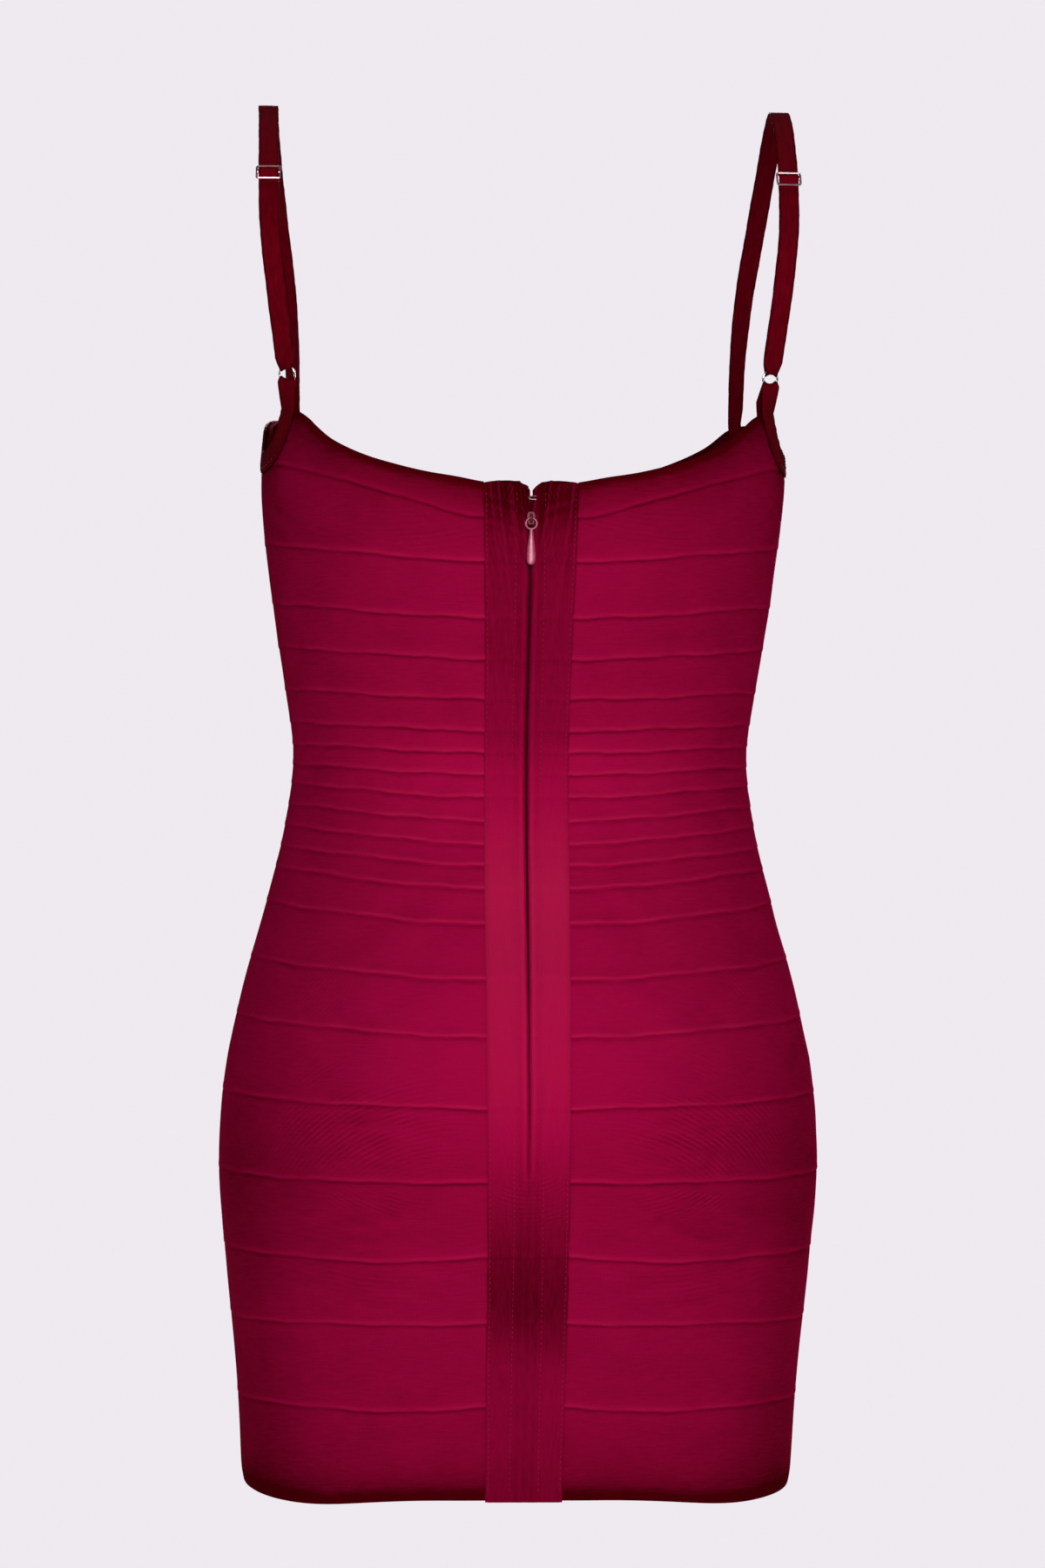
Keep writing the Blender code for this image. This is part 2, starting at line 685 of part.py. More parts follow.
def make_ring_tab(word, side, wire, down, across, out):
    """A short elastic round the ring's lower side, its ends sewn to the corner of the back."""
    stations = sewn_in(BACK_CORNER, BACK_CORNER_OUTER, (-7, -3, 1, 5))
    for k in range(9):
        turn = math.pi * k / 8
        point = wire - out * WRAP * math.cos(turn) - down * WRAP * math.sin(turn)
        stations.append((point, across, RING_NECK))
    outside = LEDGE + GAP + ELASTIC_THICK / 2
    stations += corner_stations(BACK_CORNER, BACK_CORNER_OUTER, (6, 3, 1.5), outside)
    ribbon(f"ring_tab_{word}", stations, side)


# --- the zip ---


def make_zip():
    make_zip_tape()
    hinge = Vector((0, float(back_at(ZIP_HINGE_Z)) + PLACKET_RISE + HINGE_STAND_OFF, ZIP_HINGE_Z))
    make_zip_slider(hinge)
    make_zip_pull(hinge)


def make_zip_tape():
    """The tape lies behind the plackets, and its coil stands between them."""
    levels = np.linspace(ZIP_HINGE_Z + ZIP_ABOVE_HINGE, ZIP_END_Z, 21)
    behind = -WALL + PLACKET_RISE - TAPE_CLEAR
    half = TAPE_WIDTH / 2
    outer, inner = [], []
    for along in (-half, -half / 2, -COIL_FOOT, -COIL_HALF, COIL_HALF, COIL_FOOT, half / 2, half):
        side = -1 if along < 0 else 1
        out = behind + COIL_RISE if abs(along) == COIL_HALF else behind
        outer.append([place(abs(along) / quarter_length(z), z, out, side) for z in levels])
        inner.append([place(abs(along) / quarter_length(z), z, behind - TAPE_THICK, side) for z in levels])
    wall("zip_tape", outer, inner, "zip tape")


def make_zip_slider(hinge):
    """A plate, a bridge over it and a stem between the two halves of the coil, in one piece."""

    def point(up, out, aside):
        return Vector((aside, hinge.y + out, hinge.z + up))

    arc = [math.pi * k / 10 for k in range(11)]
    over = [(BRIDGE_OUTER * math.cos(t), BRIDGE_OUTER * math.sin(t)) for t in arc]
    under = [(BRIDGE_INNER * math.cos(t), BRIDGE_INNER * math.sin(t)) for t in reversed(arc)]
    feet = -BRIDGE_FOOT
    outside = [(BRIDGE_OUTER, feet), *over, (-BRIDGE_OUTER, feet)]
    outline = [*outside, (-BRIDGE_INNER, feet), *under, (BRIDGE_INNER, feet)]
    bridge = bmesh.new()
    prism(bridge, outline, point, BRIDGE_HALF_WIDTH)
    plate = bmesh.new()
    prism(plate, oblong(PLATE_HALF_HEIGHT, PLATE_THICK - PLATE_IN, -PLATE_IN), point, PLATE_HALF_WIDTH)
    stem = bmesh.new()
    prism(stem, oblong(STEM_HALF_HEIGHT, PLATE_THICK / 3 - PLATE_IN, -STEM_IN), point, STEM_HALF_WIDTH)
    joined("zip_slider", [plate, bridge, stem], "painted metal")


def oblong(half, top, bottom):
    return [(half, top), (half, bottom), (-half, bottom), (-half, top)]


def make_zip_pull(hinge):
    """The pull's ring hangs from the bridge, and its origin is on the hinge."""
    down = Vector((0, 0, -1))
    loop = ring(down * PULL_RING_RADIUS, Vector((1, 0, 0)), down, PULL_RING_RADIUS, PULL_RING_WIRE)
    right = [(row.down, row.half_width) for row in PULL_DROP]
    left = [(row.down, -row.half_width) for row in reversed(PULL_DROP)]
    drop = bmesh.new()
    prism(drop, right + left, lambda below, aside, out: Vector((aside, out, -below)), PULL_HALF_THICK)
    pull = joined("zip_pull", [loop, drop], "painted metal")
    pull.location = hinge * MM


def make_hook():
    """A small wire hook that closes the top of the slit."""
    z = float(top_at(0.0)) - NOTCH - HOOK_BELOW_NOTCH
    y = float(back_at(z)) + PLACKET_RISE + HOOK_STAND_OFF
    bm = bmesh.new()
    tube(bm, [Vector((bend.across, y, z + bend.up)) for bend in HOOK], HOOK_WIRE, sides=6)
    add_object("hook_eye", bm, "steel")


def main():
    for obj in list(bpy.data.objects):
        bpy.data.objects.remove(obj)
    make_front()
    for word, side in (("left", 1), ("right", -1)):
        make_back(f"back_{word}", side)
        make_placket(f"placket_{word}", side)
        make_armhole(f"armhole_{word}", side)
        make_strap_set(word, side)
    make_zip()
    make_hook()


main()
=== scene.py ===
import json
import math
import random
from collections import namedtuple
from contextlib import contextmanager

import bpy
import numpy as np
from mathutils import Matrix, Vector


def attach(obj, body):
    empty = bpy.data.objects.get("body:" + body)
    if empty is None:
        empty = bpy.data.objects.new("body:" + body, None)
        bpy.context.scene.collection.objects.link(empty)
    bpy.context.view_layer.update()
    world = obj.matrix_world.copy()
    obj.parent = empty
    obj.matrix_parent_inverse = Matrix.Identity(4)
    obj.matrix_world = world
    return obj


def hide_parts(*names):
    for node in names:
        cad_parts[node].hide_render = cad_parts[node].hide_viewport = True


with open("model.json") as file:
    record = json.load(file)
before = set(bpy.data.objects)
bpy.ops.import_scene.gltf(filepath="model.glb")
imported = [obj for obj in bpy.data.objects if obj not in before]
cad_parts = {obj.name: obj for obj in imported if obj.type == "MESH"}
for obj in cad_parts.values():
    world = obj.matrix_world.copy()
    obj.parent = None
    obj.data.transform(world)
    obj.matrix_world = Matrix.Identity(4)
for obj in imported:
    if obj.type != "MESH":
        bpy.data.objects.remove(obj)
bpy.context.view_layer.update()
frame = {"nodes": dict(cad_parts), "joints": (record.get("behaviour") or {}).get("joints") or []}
print("frame loaded,", len(frame["nodes"]), "nodes")

mm = 0.001
scene = bpy.context.scene


# ---- the dress's form, in millimetres, with +X to the wearer's left and the back at +Y

def rowsOf(kind, rows):
    return [kind(*row) for row in rows]


Section = namedtuple("Section", "z halfWidth back front squareness")
Edge = namedtuple("Edge", "round top firstSeam")  # round: 0 centre back, 1 side seam, 2 centre front
Seam = namedtuple("Seam", "z climb dip", defaults=(0,))
Placket = namedtuple("Placket", "z halfWidth")

dressForm = {
    "sections": rowsOf(Section, (
        (-140, 140.0, 84, 96, 3.7), (-180, 143.0, 90, 108, 3.6), (-210, 144.8, 93, 112, 3.2),
        (-240, 142.6, 91, 112, 2.7), (-280, 137.4, 83, 101, 2.5), (-320, 131.2, 71, 91, 2.4),
        (-358, 126.2, 62, 87, 2.3), (-400, 131.0, 67, 90, 2.3), (-440, 140.5, 80, 97, 2.35),
        (-490, 154.0, 98, 103, 2.4), (-540, 163.6, 109, 104, 2.45), (-585, 166.0, 111, 100, 2.5),
        (-640, 161.6, 105, 93, 2.6), (-700, 155.6, 90, 85, 2.7), (-775, 151.4, 77, 79, 2.8))),
    "cup": {"out": 20, "x": 68, "z": -236, "spreadX": 40, "above": 44, "below": 34,
            "blend": 0.1, "merge": 14},  # softly into the side, and into the other cup at the centre
    "topEdge": rowsOf(Edge, (
        (0.00, -212.5, -232.5), (0.12, -212.0, -231.5), (0.20, -209.0, -229.3), (0.28, -206.3, -225.0),
        (0.36, -202.4, -220.0), (0.44, -197.5, -215.0), (0.53, -189.2, -209.7), (0.641, -173.6, -204.8),
        (0.708, -171.4, -202.6), (0.726, -180.5, -202.2), (0.750, -187.7, -202.0), (0.79, -191.5, -202.0),
        (0.86, -193.0, -203.5), (0.93, -191.0, -203.5), (1.00, -186.5, -202.0), (1.05, -181.5, -202.0),
        (1.12, -176.0, -202.0), (1.22, -171.0, -202.0), (1.33, -168.5, -203.0), (1.39, -169.5, -205.0),
        (1.48, -180.0, -209.5), (1.60, -190.0, -215.0), (1.78, -198.0, -222.0), (2.00, -208.0, -230.0))),
    "seams": rowsOf(Seam, (
        (-255.5, 12), (-286, 10), (-308, 8), (-329.5, 6), (-346.5, 5), (-358.5, 5), (-370.5, 6), (-383, 8),
        (-395.5, 9), (-408, 10), (-419.5, 10), (-432, 11), (-451, 11), (-480.5, 10), (-511, 9), (-549, 5),
        (-588, 1, 1.0), (-628, -1, 3.6), (-665, -2, 0.5), (-710.5, -1, 3.4))),
    "plackets": rowsOf(Placket, (
        (-205, 25.6), (-235, 25.0), (-300, 23.4), (-450, 22.6), (-600, 21.8), (-775, 20.4))),
    "hem": -762.0,
    "hemDip": 4.0,  # it hangs lower behind and before each thigh
    "hemRise": 4.5,  # and is higher at the side seams
    "backCorner": (0.641, 0.708),
    "frontCorner": (1.39, 1.33),
    "wall": 2.0,
    "seamLevel": -400,  # where the seams' gap is turned into rounds
    "armholeLevel": -185,
    "seamGap": 0.04,  # at seams that are sewn shut
    "placketRise": 0.7,
}


def bell(away, reach):
    return np.exp(-((away / reach) ** 2))


def ease(share):
    return share * share * (3 - 2 * share)


def unit(ways):
    return ways / np.linalg.norm(ways, axis=-1, keepdims=True)


def runAlong(points):
    return np.concatenate([[0], np.cumsum(np.linalg.norm(np.diff(points, axis=0), axis=1))])


def alongRows(rows, levels):
    # straight lines between (z, value) rows, which run downwards
    return np.interp(-levels, [-z for z, _ in rows], [value for _, value in rows])


def smoothCurve(xs, ys, levelEnds=False):
    xs, ys = np.asarray(xs, float), np.asarray(ys, float)
    slopes = np.gradient(ys, xs)
    if levelEnds:
        slopes[0] = slopes[-1] = 0

    def at(x):
        x = np.clip(x, xs[0], xs[-1])
        i = np.clip(np.searchsorted(xs, x) - 1, 0, len(xs) - 2)
        step = xs[i + 1] - xs[i]
        t = (x - xs[i]) / step
        ends = ys[i] * (1 + 2 * t) * (1 - t) ** 2 + ys[i + 1] * ease(t)
        return ends + step * (slopes[i] * t * (1 - t) ** 2 - slopes[i + 1] * t * t * (1 - t))

    return at


def column(table, name, key="z", levelEnds=False):
    rows = sorted(table, key=lambda row: getattr(row, key))
    xs, ys = ([getattr(row, field) for row in rows] for field in (key, name))
    return smoothCurve(xs, ys, levelEnds)


halfWidthAt, backAt, frontAt, squarenessAt = (
    column(dressForm["sections"], name) for name in ("halfWidth", "back", "front", "squareness"))
topAt, firstSeamAt = (column(dressForm["topEdge"], name, "round", True) for name in ("top", "firstSeam"))
placketAt = column(dressForm["plackets"], "halfWidth")

skinLevels = np.arange(-795.0, -138.0, 1.0)
skinRounds = np.linspace(0, 2, 401)


def buildSkin():
    # x and y of the outer skin over level and round, and the length of each level's two quarters
    points = np.empty((len(skinLevels), len(skinRounds), 2))
    lengths = np.empty((len(skinLevels), 2))
    turn = np.linspace(0, math.pi / 2, 240)
    cup = dressForm["cup"]
    blend = cup["blend"]
    middle = len(skinRounds) // 2
    for i, z in enumerate(skinLevels):
        power = 2 / squarenessAt(z)
        x = halfWidthAt(z) * np.sin(turn) ** power
        for j, (depth, sign) in enumerate(((backAt(z), 1), (frontAt(z), -1))):
            y = depth * np.cos(turn) ** power
            along = np.concatenate([[0], np.cumsum(np.hypot(np.diff(x), np.diff(y)))])
            here = slice(0, middle + 1) if sign > 0 else slice(middle, None)
            share = skinRounds[here] if sign > 0 else 2 - skinRounds[here]
            xs = np.interp(share * along[-1], along, x)
            ys = np.interp(share * along[-1], along, y) * sign
            if sign < 0:
                spread = cup["above"] if z > cup["z"] else cup["below"]
                aside = np.hypot(xs, cup["merge"])
                fall = ((aside - cup["x"]) / cup["spreadX"]) ** 2 + ((z - cup["z"]) / spread) ** 2
                inwards = 2 * (1 - xs / (halfWidthAt(z) + 1))
                fade = -blend * np.log(np.exp(-1 / blend) + np.exp(-inwards / blend))
                ys -= cup["out"] * np.exp(-fall / 2) * fade
            points[i, here, 0], points[i, here, 1] = xs, ys
            lengths[i, j] = along[-1]
    return points, lengths


skinPoints, skinLengths = buildSkin()


def skinAt(rounds, levels):
    rounds, levels = np.broadcast_arrays(np.asarray(rounds, float), np.asarray(levels, float))
    row = np.clip(levels - skinLevels[0], 0, len(skinLevels) - 1.001)
    col = np.clip(rounds * (len(skinRounds) - 1) / 2, 0, len(skinRounds) - 1.001)
    i, j = row.astype(int), col.astype(int)
    s, t = (row - i)[..., None], (col - j)[..., None]
    near = skinPoints[i, j] * (1 - t) + skinPoints[i, j + 1] * t
    far = skinPoints[i + 1, j] * (1 - t) + skinPoints[i + 1, j + 1] * t
    return np.concatenate([near * (1 - s) + far * s, levels[..., None]], -1)


def outwardAt(rounds, levels):
    rounds, levels = np.broadcast_arrays(np.asarray(rounds, float), np.asarray(levels, float))
    near = 0.014
    across = skinAt(np.minimum(rounds + near, 2), levels) - skinAt(np.maximum(rounds - near, 0), levels)
    centre = (rounds < near) | (rounds > 2 - near)
    across[..., 1] = np.where(centre, 0, across[..., 1])
    upward = skinAt(rounds, levels + 2) - skinAt(rounds, levels - 2)
    return unit(np.cross(upward, across))


def placeAt(rounds, levels, outs, side=1):
    points = skinAt(rounds, levels) + outwardAt(rounds, levels) * np.asarray(outs, float)[..., None]
    points[..., 0] *= side
    return points


def quarterLength(levels, inFront=False):
    return np.interp(levels, skinLevels, skinLengths[:, int(inFront)])


def quarterAt(rounds, levels):
    return np.where(rounds > 1, quarterLength(levels, True), quarterLength(levels))


roundLength = quarterLength(dressForm["armholeLevel"])  # millimetres to a round there


def seamAt(seam, rounds):
    share = np.minimum(rounds, 2 - rounds)
    climb = seam.climb * np.sin(math.pi / 2 * share) ** 2.5
    return seam.z + climb - seam.dip * bell(share - 0.40, 0.2)


def hemAt(rounds):
    share = np.minimum(rounds, 2 - rounds)
    dip = dressForm["hemDip"] * bell(share - 0.62, 0.2)
    return dressForm["hem"] - dip + dressForm["hemRise"] * share ** 6


def waver(seed, waves):
    # a soft uneven line: waves are (length, height) pairs, each with its own start
    draw = random.Random(seed)
    parts = [(length * draw.uniform(0.85, 1.15), height, draw.uniform(0, 6.28)) for length, height in waves]
    circle = 2 * math.pi
    return lambda at: sum(height * np.sin(circle * at / length + start) for length, height, start in parts)


# ---- materials

class Wired:  # one output socket, on which sums are written
    def __init__(self, graph, socket):
        self.graph, self.socket = graph, socket

    def maths(self, operation, *others):
        return self.graph.node("Math", {"operation": operation}, dict(enumerate((self, *others))))

    def __add__(self, other):
        return self.maths("ADD", other)

    def __sub__(self, other):
        return self.maths("SUBTRACT", other)

    def __rsub__(self, other):
        return self.graph.node("Math", {"operation": "SUBTRACT"}, {0: other, 1: self})

    def __mul__(self, other):
        return self.maths("MULTIPLY", other)

    def __truediv__(self, other):
        return self.maths("DIVIDE", other)

    __radd__, __rmul__ = __add__, __mul__

    def clamped(self):
        return self.maths("MAXIMUM", 0.0).maths("MINIMUM", 1.0)

    def wave(self):
        return self.maths("SINE")


class Finish:  # a material and its graph
    def __init__(self, name, **constants):
        self.material = bpy.data.materials.new(name)
        self.material.use_nodes = True
        self.tree = self.material.node_tree
        self.tree.nodes.clear()
        self.shader = self.tree.nodes.new("ShaderNodeBsdfPrincipled")
        ending = self.tree.nodes.new("ShaderNodeOutputMaterial")
        self.tree.links.new(self.shader.outputs[0], ending.inputs["Surface"])
        self.give(**constants)

    def node(self, kind, settings=None, inputs=None, output=0):
        made = self.tree.nodes.new("ShaderNode" + kind)
        for name, value in (settings or {}).items():
            setattr(made, name, value)
        for name, value in (inputs or {}).items():
            self.feed(made.inputs[name], value)
        return Wired(self, made.outputs[output])

    def feed(self, socket, value):
        if isinstance(value, Wired):
            self.tree.links.new(value.socket, socket)
        else:
            socket.default_value = value

    def give(self, **values):
        for name, value in values.items():
            self.feed(self.shader.inputs[name.replace("_", " ")], value)
        return self.material

    def place(self):  # object coordinates
        return self.node("TexCoord", None, None, 3)

    def pairs(self, name):  # a UV map
        return self.node("UVMap", {"uv_map": name})

    def shade(self):
        return self.node("Attribute", {"attribute_name": "shade"}, None, 2)

    def parts(self, vector):
        split = self.node("SeparateXYZ", None, {0: vector})
        outputs = split.socket.node.outputs
        return [Wired(self, outputs[axis]) for axis in range(3)]

    def mix(self, factor, first, second):
        inputs = {0: factor, 6: (*first, 1) if isinstance(first, tuple) else first}
        inputs[7] = (*second, 1) if isinstance(second, tuple) else second
        return self.node("Mix", {"data_type": "RGBA"}, inputs, 2)

    def noise(self, vector, scale, detail=3.0, roughness=0.55):
        if isinstance(scale, tuple):  # a scale for each axis
            vector, scale = self.node("Mapping", None, {"Vector": vector, "Scale": scale}), 1.0
        values = {"Vector": vector, "Scale": scale, "Detail": detail, "Roughness": roughness}
        return self.node("TexNoise", None, values)

    def bump(self, height, distance, strength):
        return self.node("Bump", None, {"Height": height, "Distance": distance, "Strength": strength})


knitLook = {
    # deep to light: the colours that the brightness runs between; painted shade pulls towards deep, painted
    # highlight towards light
    "deep": (0.072, 0.0002, 0.0028),
    "middle": (0.310, 0.0022, 0.0450),
    "light": (0.450, 0.0110, 0.0720),
    "wale": 1.15 * mm,  # from one column of stitches to the next
    "course": 0.80 * mm,  # from one row to the next
    "metallic": 0.85,
    "roughness": 0.72,
    "gloss": 0.06,
    "glossTint": (0.9, 0.12, 0.25, 1),
    # weights on the brightness: cloud, streak, fuzz and stitch vary the knit's own tone; ripple paints shade
    # and highlight on the fine ripples; shade is the sheets' painted shade
    "tones": {"cloud": 0.22, "streak": 0.26, "fuzz": 0.14, "stitch": 0.05, "ripple": 0.15, "shade": 0.55},
    "relief": {"stitch": 0.035, "streak": 0.06, "fuzz": 0.03, "ripple": 0.13},
}


def knitFinish(name, tone, upright=False):
    look, tones, raised = knitLook, knitLook["tones"], knitLook["relief"]
    finish = Finish(
        name, Metallic=look["metallic"], Specular_IOR_Level=look["gloss"], Specular_Tint=look["glossTint"])
    weave = finish.pairs("weave")
    across, along, _ = finish.parts(weave)
    turns, pinched, _ = finish.parts(finish.pairs("ripple"))
    if upright:
        across, along = along, across
    shade = finish.shade()
    wale = (across / look["wale"]).maths("FRACT") - 0.5
    lean = wale.maths("ABSOLUTE")
    loop = ((along / look["course"] + lean * 0.9) * (2 * math.pi)).wave()
    stitch = loop * 0.4 + (0.5 - lean) * 1.3
    streak = finish.noise(weave, (900, 110, 1) if upright else (110, 900, 1), 2.0)
    cloud = finish.noise(weave, (28, 40, 1), 4.0, 0.6)
    fuzz = finish.noise(weave, (1500, 1500, 1), 2.0)
    broken = finish.noise(weave, (70, 130, 1), 3.0)
    patchy = ((broken - 0.35) * 3).maths("MAXIMUM", 0.0)
    ripple = (turns * (2 * math.pi) + cloud * 5).wave() * pinched * patchy
    light = 0.5 + (cloud - 0.5) * tones["cloud"] + (streak - 0.5) * tones["streak"]
    light = light + (fuzz - 0.5) * tones["fuzz"] + stitch * tones["stitch"]
    # painted shade and highlight of the fine ripples, and the sheets' painted shade, go into the colour here
    light = (light + ripple * tones["ripple"] - shade * tones["shade"] + tone).clamped()
    lower = finish.mix((light * 2).maths("MINIMUM", 1.0), look["deep"], look["middle"])
    colour = finish.mix((light * 2 - 1).maths("MAXIMUM", 0.0), lower, look["light"])
    roughness = look["roughness"] + (cloud - 0.5) * 0.1 + (streak - 0.5) * 0.1
    relief = stitch * raised["stitch"] + streak * raised["streak"] + fuzz * raised["fuzz"]
    normal = finish.bump(relief + ripple * raised["ripple"], mm, 0.8)
    return finish.give(Base_Color=colour, Roughness=roughness, Normal=normal)


satinLook = {
    "deep": (0.032, 0.0001, 0.0012),
    "light": (0.165, 0.0008, 0.0080),
    "rib": 0.62 * mm,
    "pick": 0.45 * mm,
    "metallic": 0.35,
    "roughness": 0.45,
    "gloss": 0.03,
    "glossTint": (0.8, 0.1, 0.2, 1),
}


def satinFinish(name):
    look = satinLook
    finish = Finish(
        name, Metallic=look["metallic"], Specular_IOR_Level=look["gloss"], Specular_Tint=look["glossTint"])
    weave = finish.pairs("weave")
    along, across, _ = finish.parts(weave)
    shade = finish.shade()
    rib = (across * (2 * math.pi / look["rib"])).wave()
    pick = (along * (2 * math.pi / look["pick"])).wave()
    streak = finish.noise(weave, (60, 1400, 1), 2.0)
    cloud = finish.noise(weave, (160, 260, 1), 3.0)
    light = 0.45 + (streak - 0.5) * 0.6 + (cloud - 0.5) * 0.5 + rib * 0.05 - shade * 0.6
    colour = finish.mix(light.clamped(), look["deep"], look["light"])
    roughness = look["roughness"] + (streak - 0.5) * 0.16
    normal = finish.bump(rib * 0.5 + pick * 0.3 + streak * 0.6, 0.1 * mm, 0.6)
    return finish.give(Base_Color=colour, Roughness=roughness, Normal=normal)


def threadFinish():
    finish = Finish("topstitch thread", Specular_IOR_Level=0.2)
    twist = finish.noise(finish.place(), (2600, 2600, 900), 1.0)
    colour = finish.mix(twist, (0.130, 0.0008, 0.014), (0.260, 0.0040, 0.038))
    normal = finish.bump(twist, 0.05 * mm, 0.5)
    return finish.give(Base_Color=colour, Roughness=0.5 + twist * 0.2, Normal=normal)


def tapeFinish():
    finish = Finish("zip tape weave", Specular_IOR_Level=0.04)
    x, _, z = finish.parts(finish.place())
    pick = (z * (2 * math.pi / (0.7 * mm))).wave()
    rib = (x * (2 * math.pi / (1.3 * mm)) + pick).wave()
    colour = finish.mix(0.5 + rib * 0.25 + pick * 0.2, (0.045, 0.0006, 0.005), (0.130, 0.0015, 0.015))
    normal = finish.bump(rib + pick * 0.6, 0.1 * mm, 0.6)
    return finish.give(Base_Color=colour, Roughness=0.72 + rib * 0.06, Normal=normal)


def metalFinish(name, colour, worn, roughness, metallic=1.0, coat=0.0, shine=0.5):
    finish = Finish(name, Metallic=metallic, Specular_IOR_Level=shine, Coat_Weight=coat)
    place = finish.place()
    scratch = finish.noise(place, (3500, 3500, 700), 4.0, 0.65)
    cloud = finish.noise(place, 420, 3.0)
    tint = finish.mix(((cloud - 0.46) * 5).clamped() * 0.55, colour, worn)
    normal = finish.bump(scratch * 0.6 + cloud * 0.4, 0.02 * mm, 0.35)
    return finish.give(Base_Color=tint, Roughness=roughness + scratch * 0.14 - 0.05, Normal=normal)


knit = knitFinish("bandage knit", 0.0)
placketKnit = knitFinish("upright placket knit", 0.04, upright=True)
satin = satinFinish("satin elastic")
thread = threadFinish()
tape = tapeFinish()
steel = metalFinish("polished ring steel", (0.70, 0.69, 0.70), (0.42, 0.41, 0.42), 0.16)
roseMetal = metalFinish("rose coated metal", (0.42, 0.20, 0.22), (0.60, 0.44, 0.44), 0.28)
paint = metalFinish("pull paint", (0.24, 0.028, 0.065), (0.36, 0.075, 0.125), 0.42, 0.30, 0.12)
sliderPaint = metalFinish("slider paint", (0.085, 0.003, 0.014), (0.15, 0.010, 0.030), 0.45, 0.20, shine=0.3)
hookMetal = metalFinish("dull hook wire", (0.26, 0.16, 0.17), (0.36, 0.26, 0.27), 0.45)
coil = metalFinish("zip coil nylon", (0.022, 0.0006, 0.003), (0.045, 0.001, 0.007), 0.7, 0.0, shine=0.05)
print("materials made")


# ---- cloth sheets

Row = namedtuple("Row", "away out shade")  # a strip's row: millimetres from its seam, out, and how much painted shade (below none, a painted highlight)
clothLook = {
    "upper": rowsOf(Row, ((0.35, -0.20, 0.34), (0.9, -0.13, 0.24), (1.7, -0.04, 0.07), (3.0, 0.02, 0.0))),
    "lower": rowsOf(Row, (
        (4.4, 0.10, 0.0), (3.0, 0.24, -0.10), (2.1, 0.38, -0.34), (1.4, 0.42, -0.42), (0.8, 0.32, -0.16),
        (0.3, 0.10, 0.14), (0.0, -0.10, 0.30))),
    "firstSeam": 0.5,  # the first seam shows this much as strongly as the others
    "rowEvery": 4.6,
    "fold": {"rows": (0.0, 0.5, 1.2, 2.4, 4.0, 6.0), "roll": 1.5, "over": 6.0, "power": 2.2, "shade": 0.30},
    "hem": {"rows": (9.0, 6.0, 3.6, 1.8, 0.7, 0.0), "roll": 0.9, "over": 9.0, "power": 2, "shade": 0.55},
    "knitThick": 0.9 * dressForm["wall"],
    "sharpAngle": 65,
}


def quadFaces(rows, columns, flip):
    index = np.arange(rows * columns).reshape(rows, columns)
    faces = np.stack([index[:-1, :-1], index[1:, :-1], index[1:, 1:], index[:-1, 1:]], -1).reshape(-1, 4)
    return faces[:, ::-1] if flip else faces


def addObject(name, mesh, material):
    mesh.shade_smooth()
    mesh.materials.append(material)
    made = bpy.data.objects.new(name, mesh)
    scene.collection.objects.link(made)
    return made


def meshObject(name, points, faces, weave, shade, material, ripple=None):
    mesh = bpy.data.meshes.new(name)
    mesh.from_pydata((points.reshape(-1, 3) * mm).tolist(), [], faces.tolist())
    corners = np.empty(len(mesh.loops), np.int32)
    mesh.loops.foreach_get("vertex_index", corners)
    for title, pairs in (("weave", weave * mm), ("ripple", ripple)):
        if pairs is not None:
            layer = mesh.uv_layers.new(name=title)
            layer.data.foreach_set("uv", pairs.reshape(-1, 2)[corners].astype(np.float32).ravel())
    mesh.attributes.new("shade", "FLOAT", "POINT").data.foreach_set("value", shade.astype(np.float32).ravel())
    return addObject(name, mesh, material)


def selectOnly(piece):
    bpy.ops.object.select_all(action="DESELECT")
    piece.select_set(True)
    bpy.context.view_layer.objects.active = piece


@contextmanager
def editing():
    # edit mode, with all of the mesh selected
    bpy.ops.object.mode_set(mode="EDIT")
    bpy.ops.mesh.select_all(action="SELECT")
    yield
    bpy.ops.object.mode_set(mode="OBJECT")


def applyModifiers(piece):
    selectOnly(piece)
    for modifier in list(piece.modifiers):
        bpy.ops.object.modifier_apply(modifier=modifier.name)


def belongTo(piece, body, slotName, *nodes):
    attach(piece, body)
    if nodes:
        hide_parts(*nodes)
    return piece


def clothSheet(name, slotName, nodes, material, points, weave, shade, ripple=None, thick=None):
    # points are a grid of rows and columns in millimetres, made a closed shell as thick as the cloth
    rows, columns = points.shape[:2]
    i, j = rows // 2, columns // 2
    facing = np.cross(points[i + 1, j] - points[i, j], points[i, j + 1] - points[i, j])
    outwards = points[i, j] * (1, 1, 0)
    faces = quadFaces(rows, columns, facing @ outwards < 0)
    piece = meshObject(name, points, faces, weave, shade, material, ripple)
    wall = piece.modifiers.new("wall", "SOLIDIFY")
    wall.thickness = (thick or clothLook["knitThick"]) * mm
    wall.offset = -1
    applyModifiers(piece)
    piece.data.set_sharp_from_angle(angle=math.radians(clothLook["sharpAngle"]))
    return belongTo(piece, "dress", slotName, *nodes)


def rolledRows(edge):
    shares = [1 - away / edge["over"] for away in edge["rows"]]
    return [Row(away, -edge["roll"] * share ** edge["power"], edge["shade"] * share)
            for away, share in zip(edge["rows"], shares)]


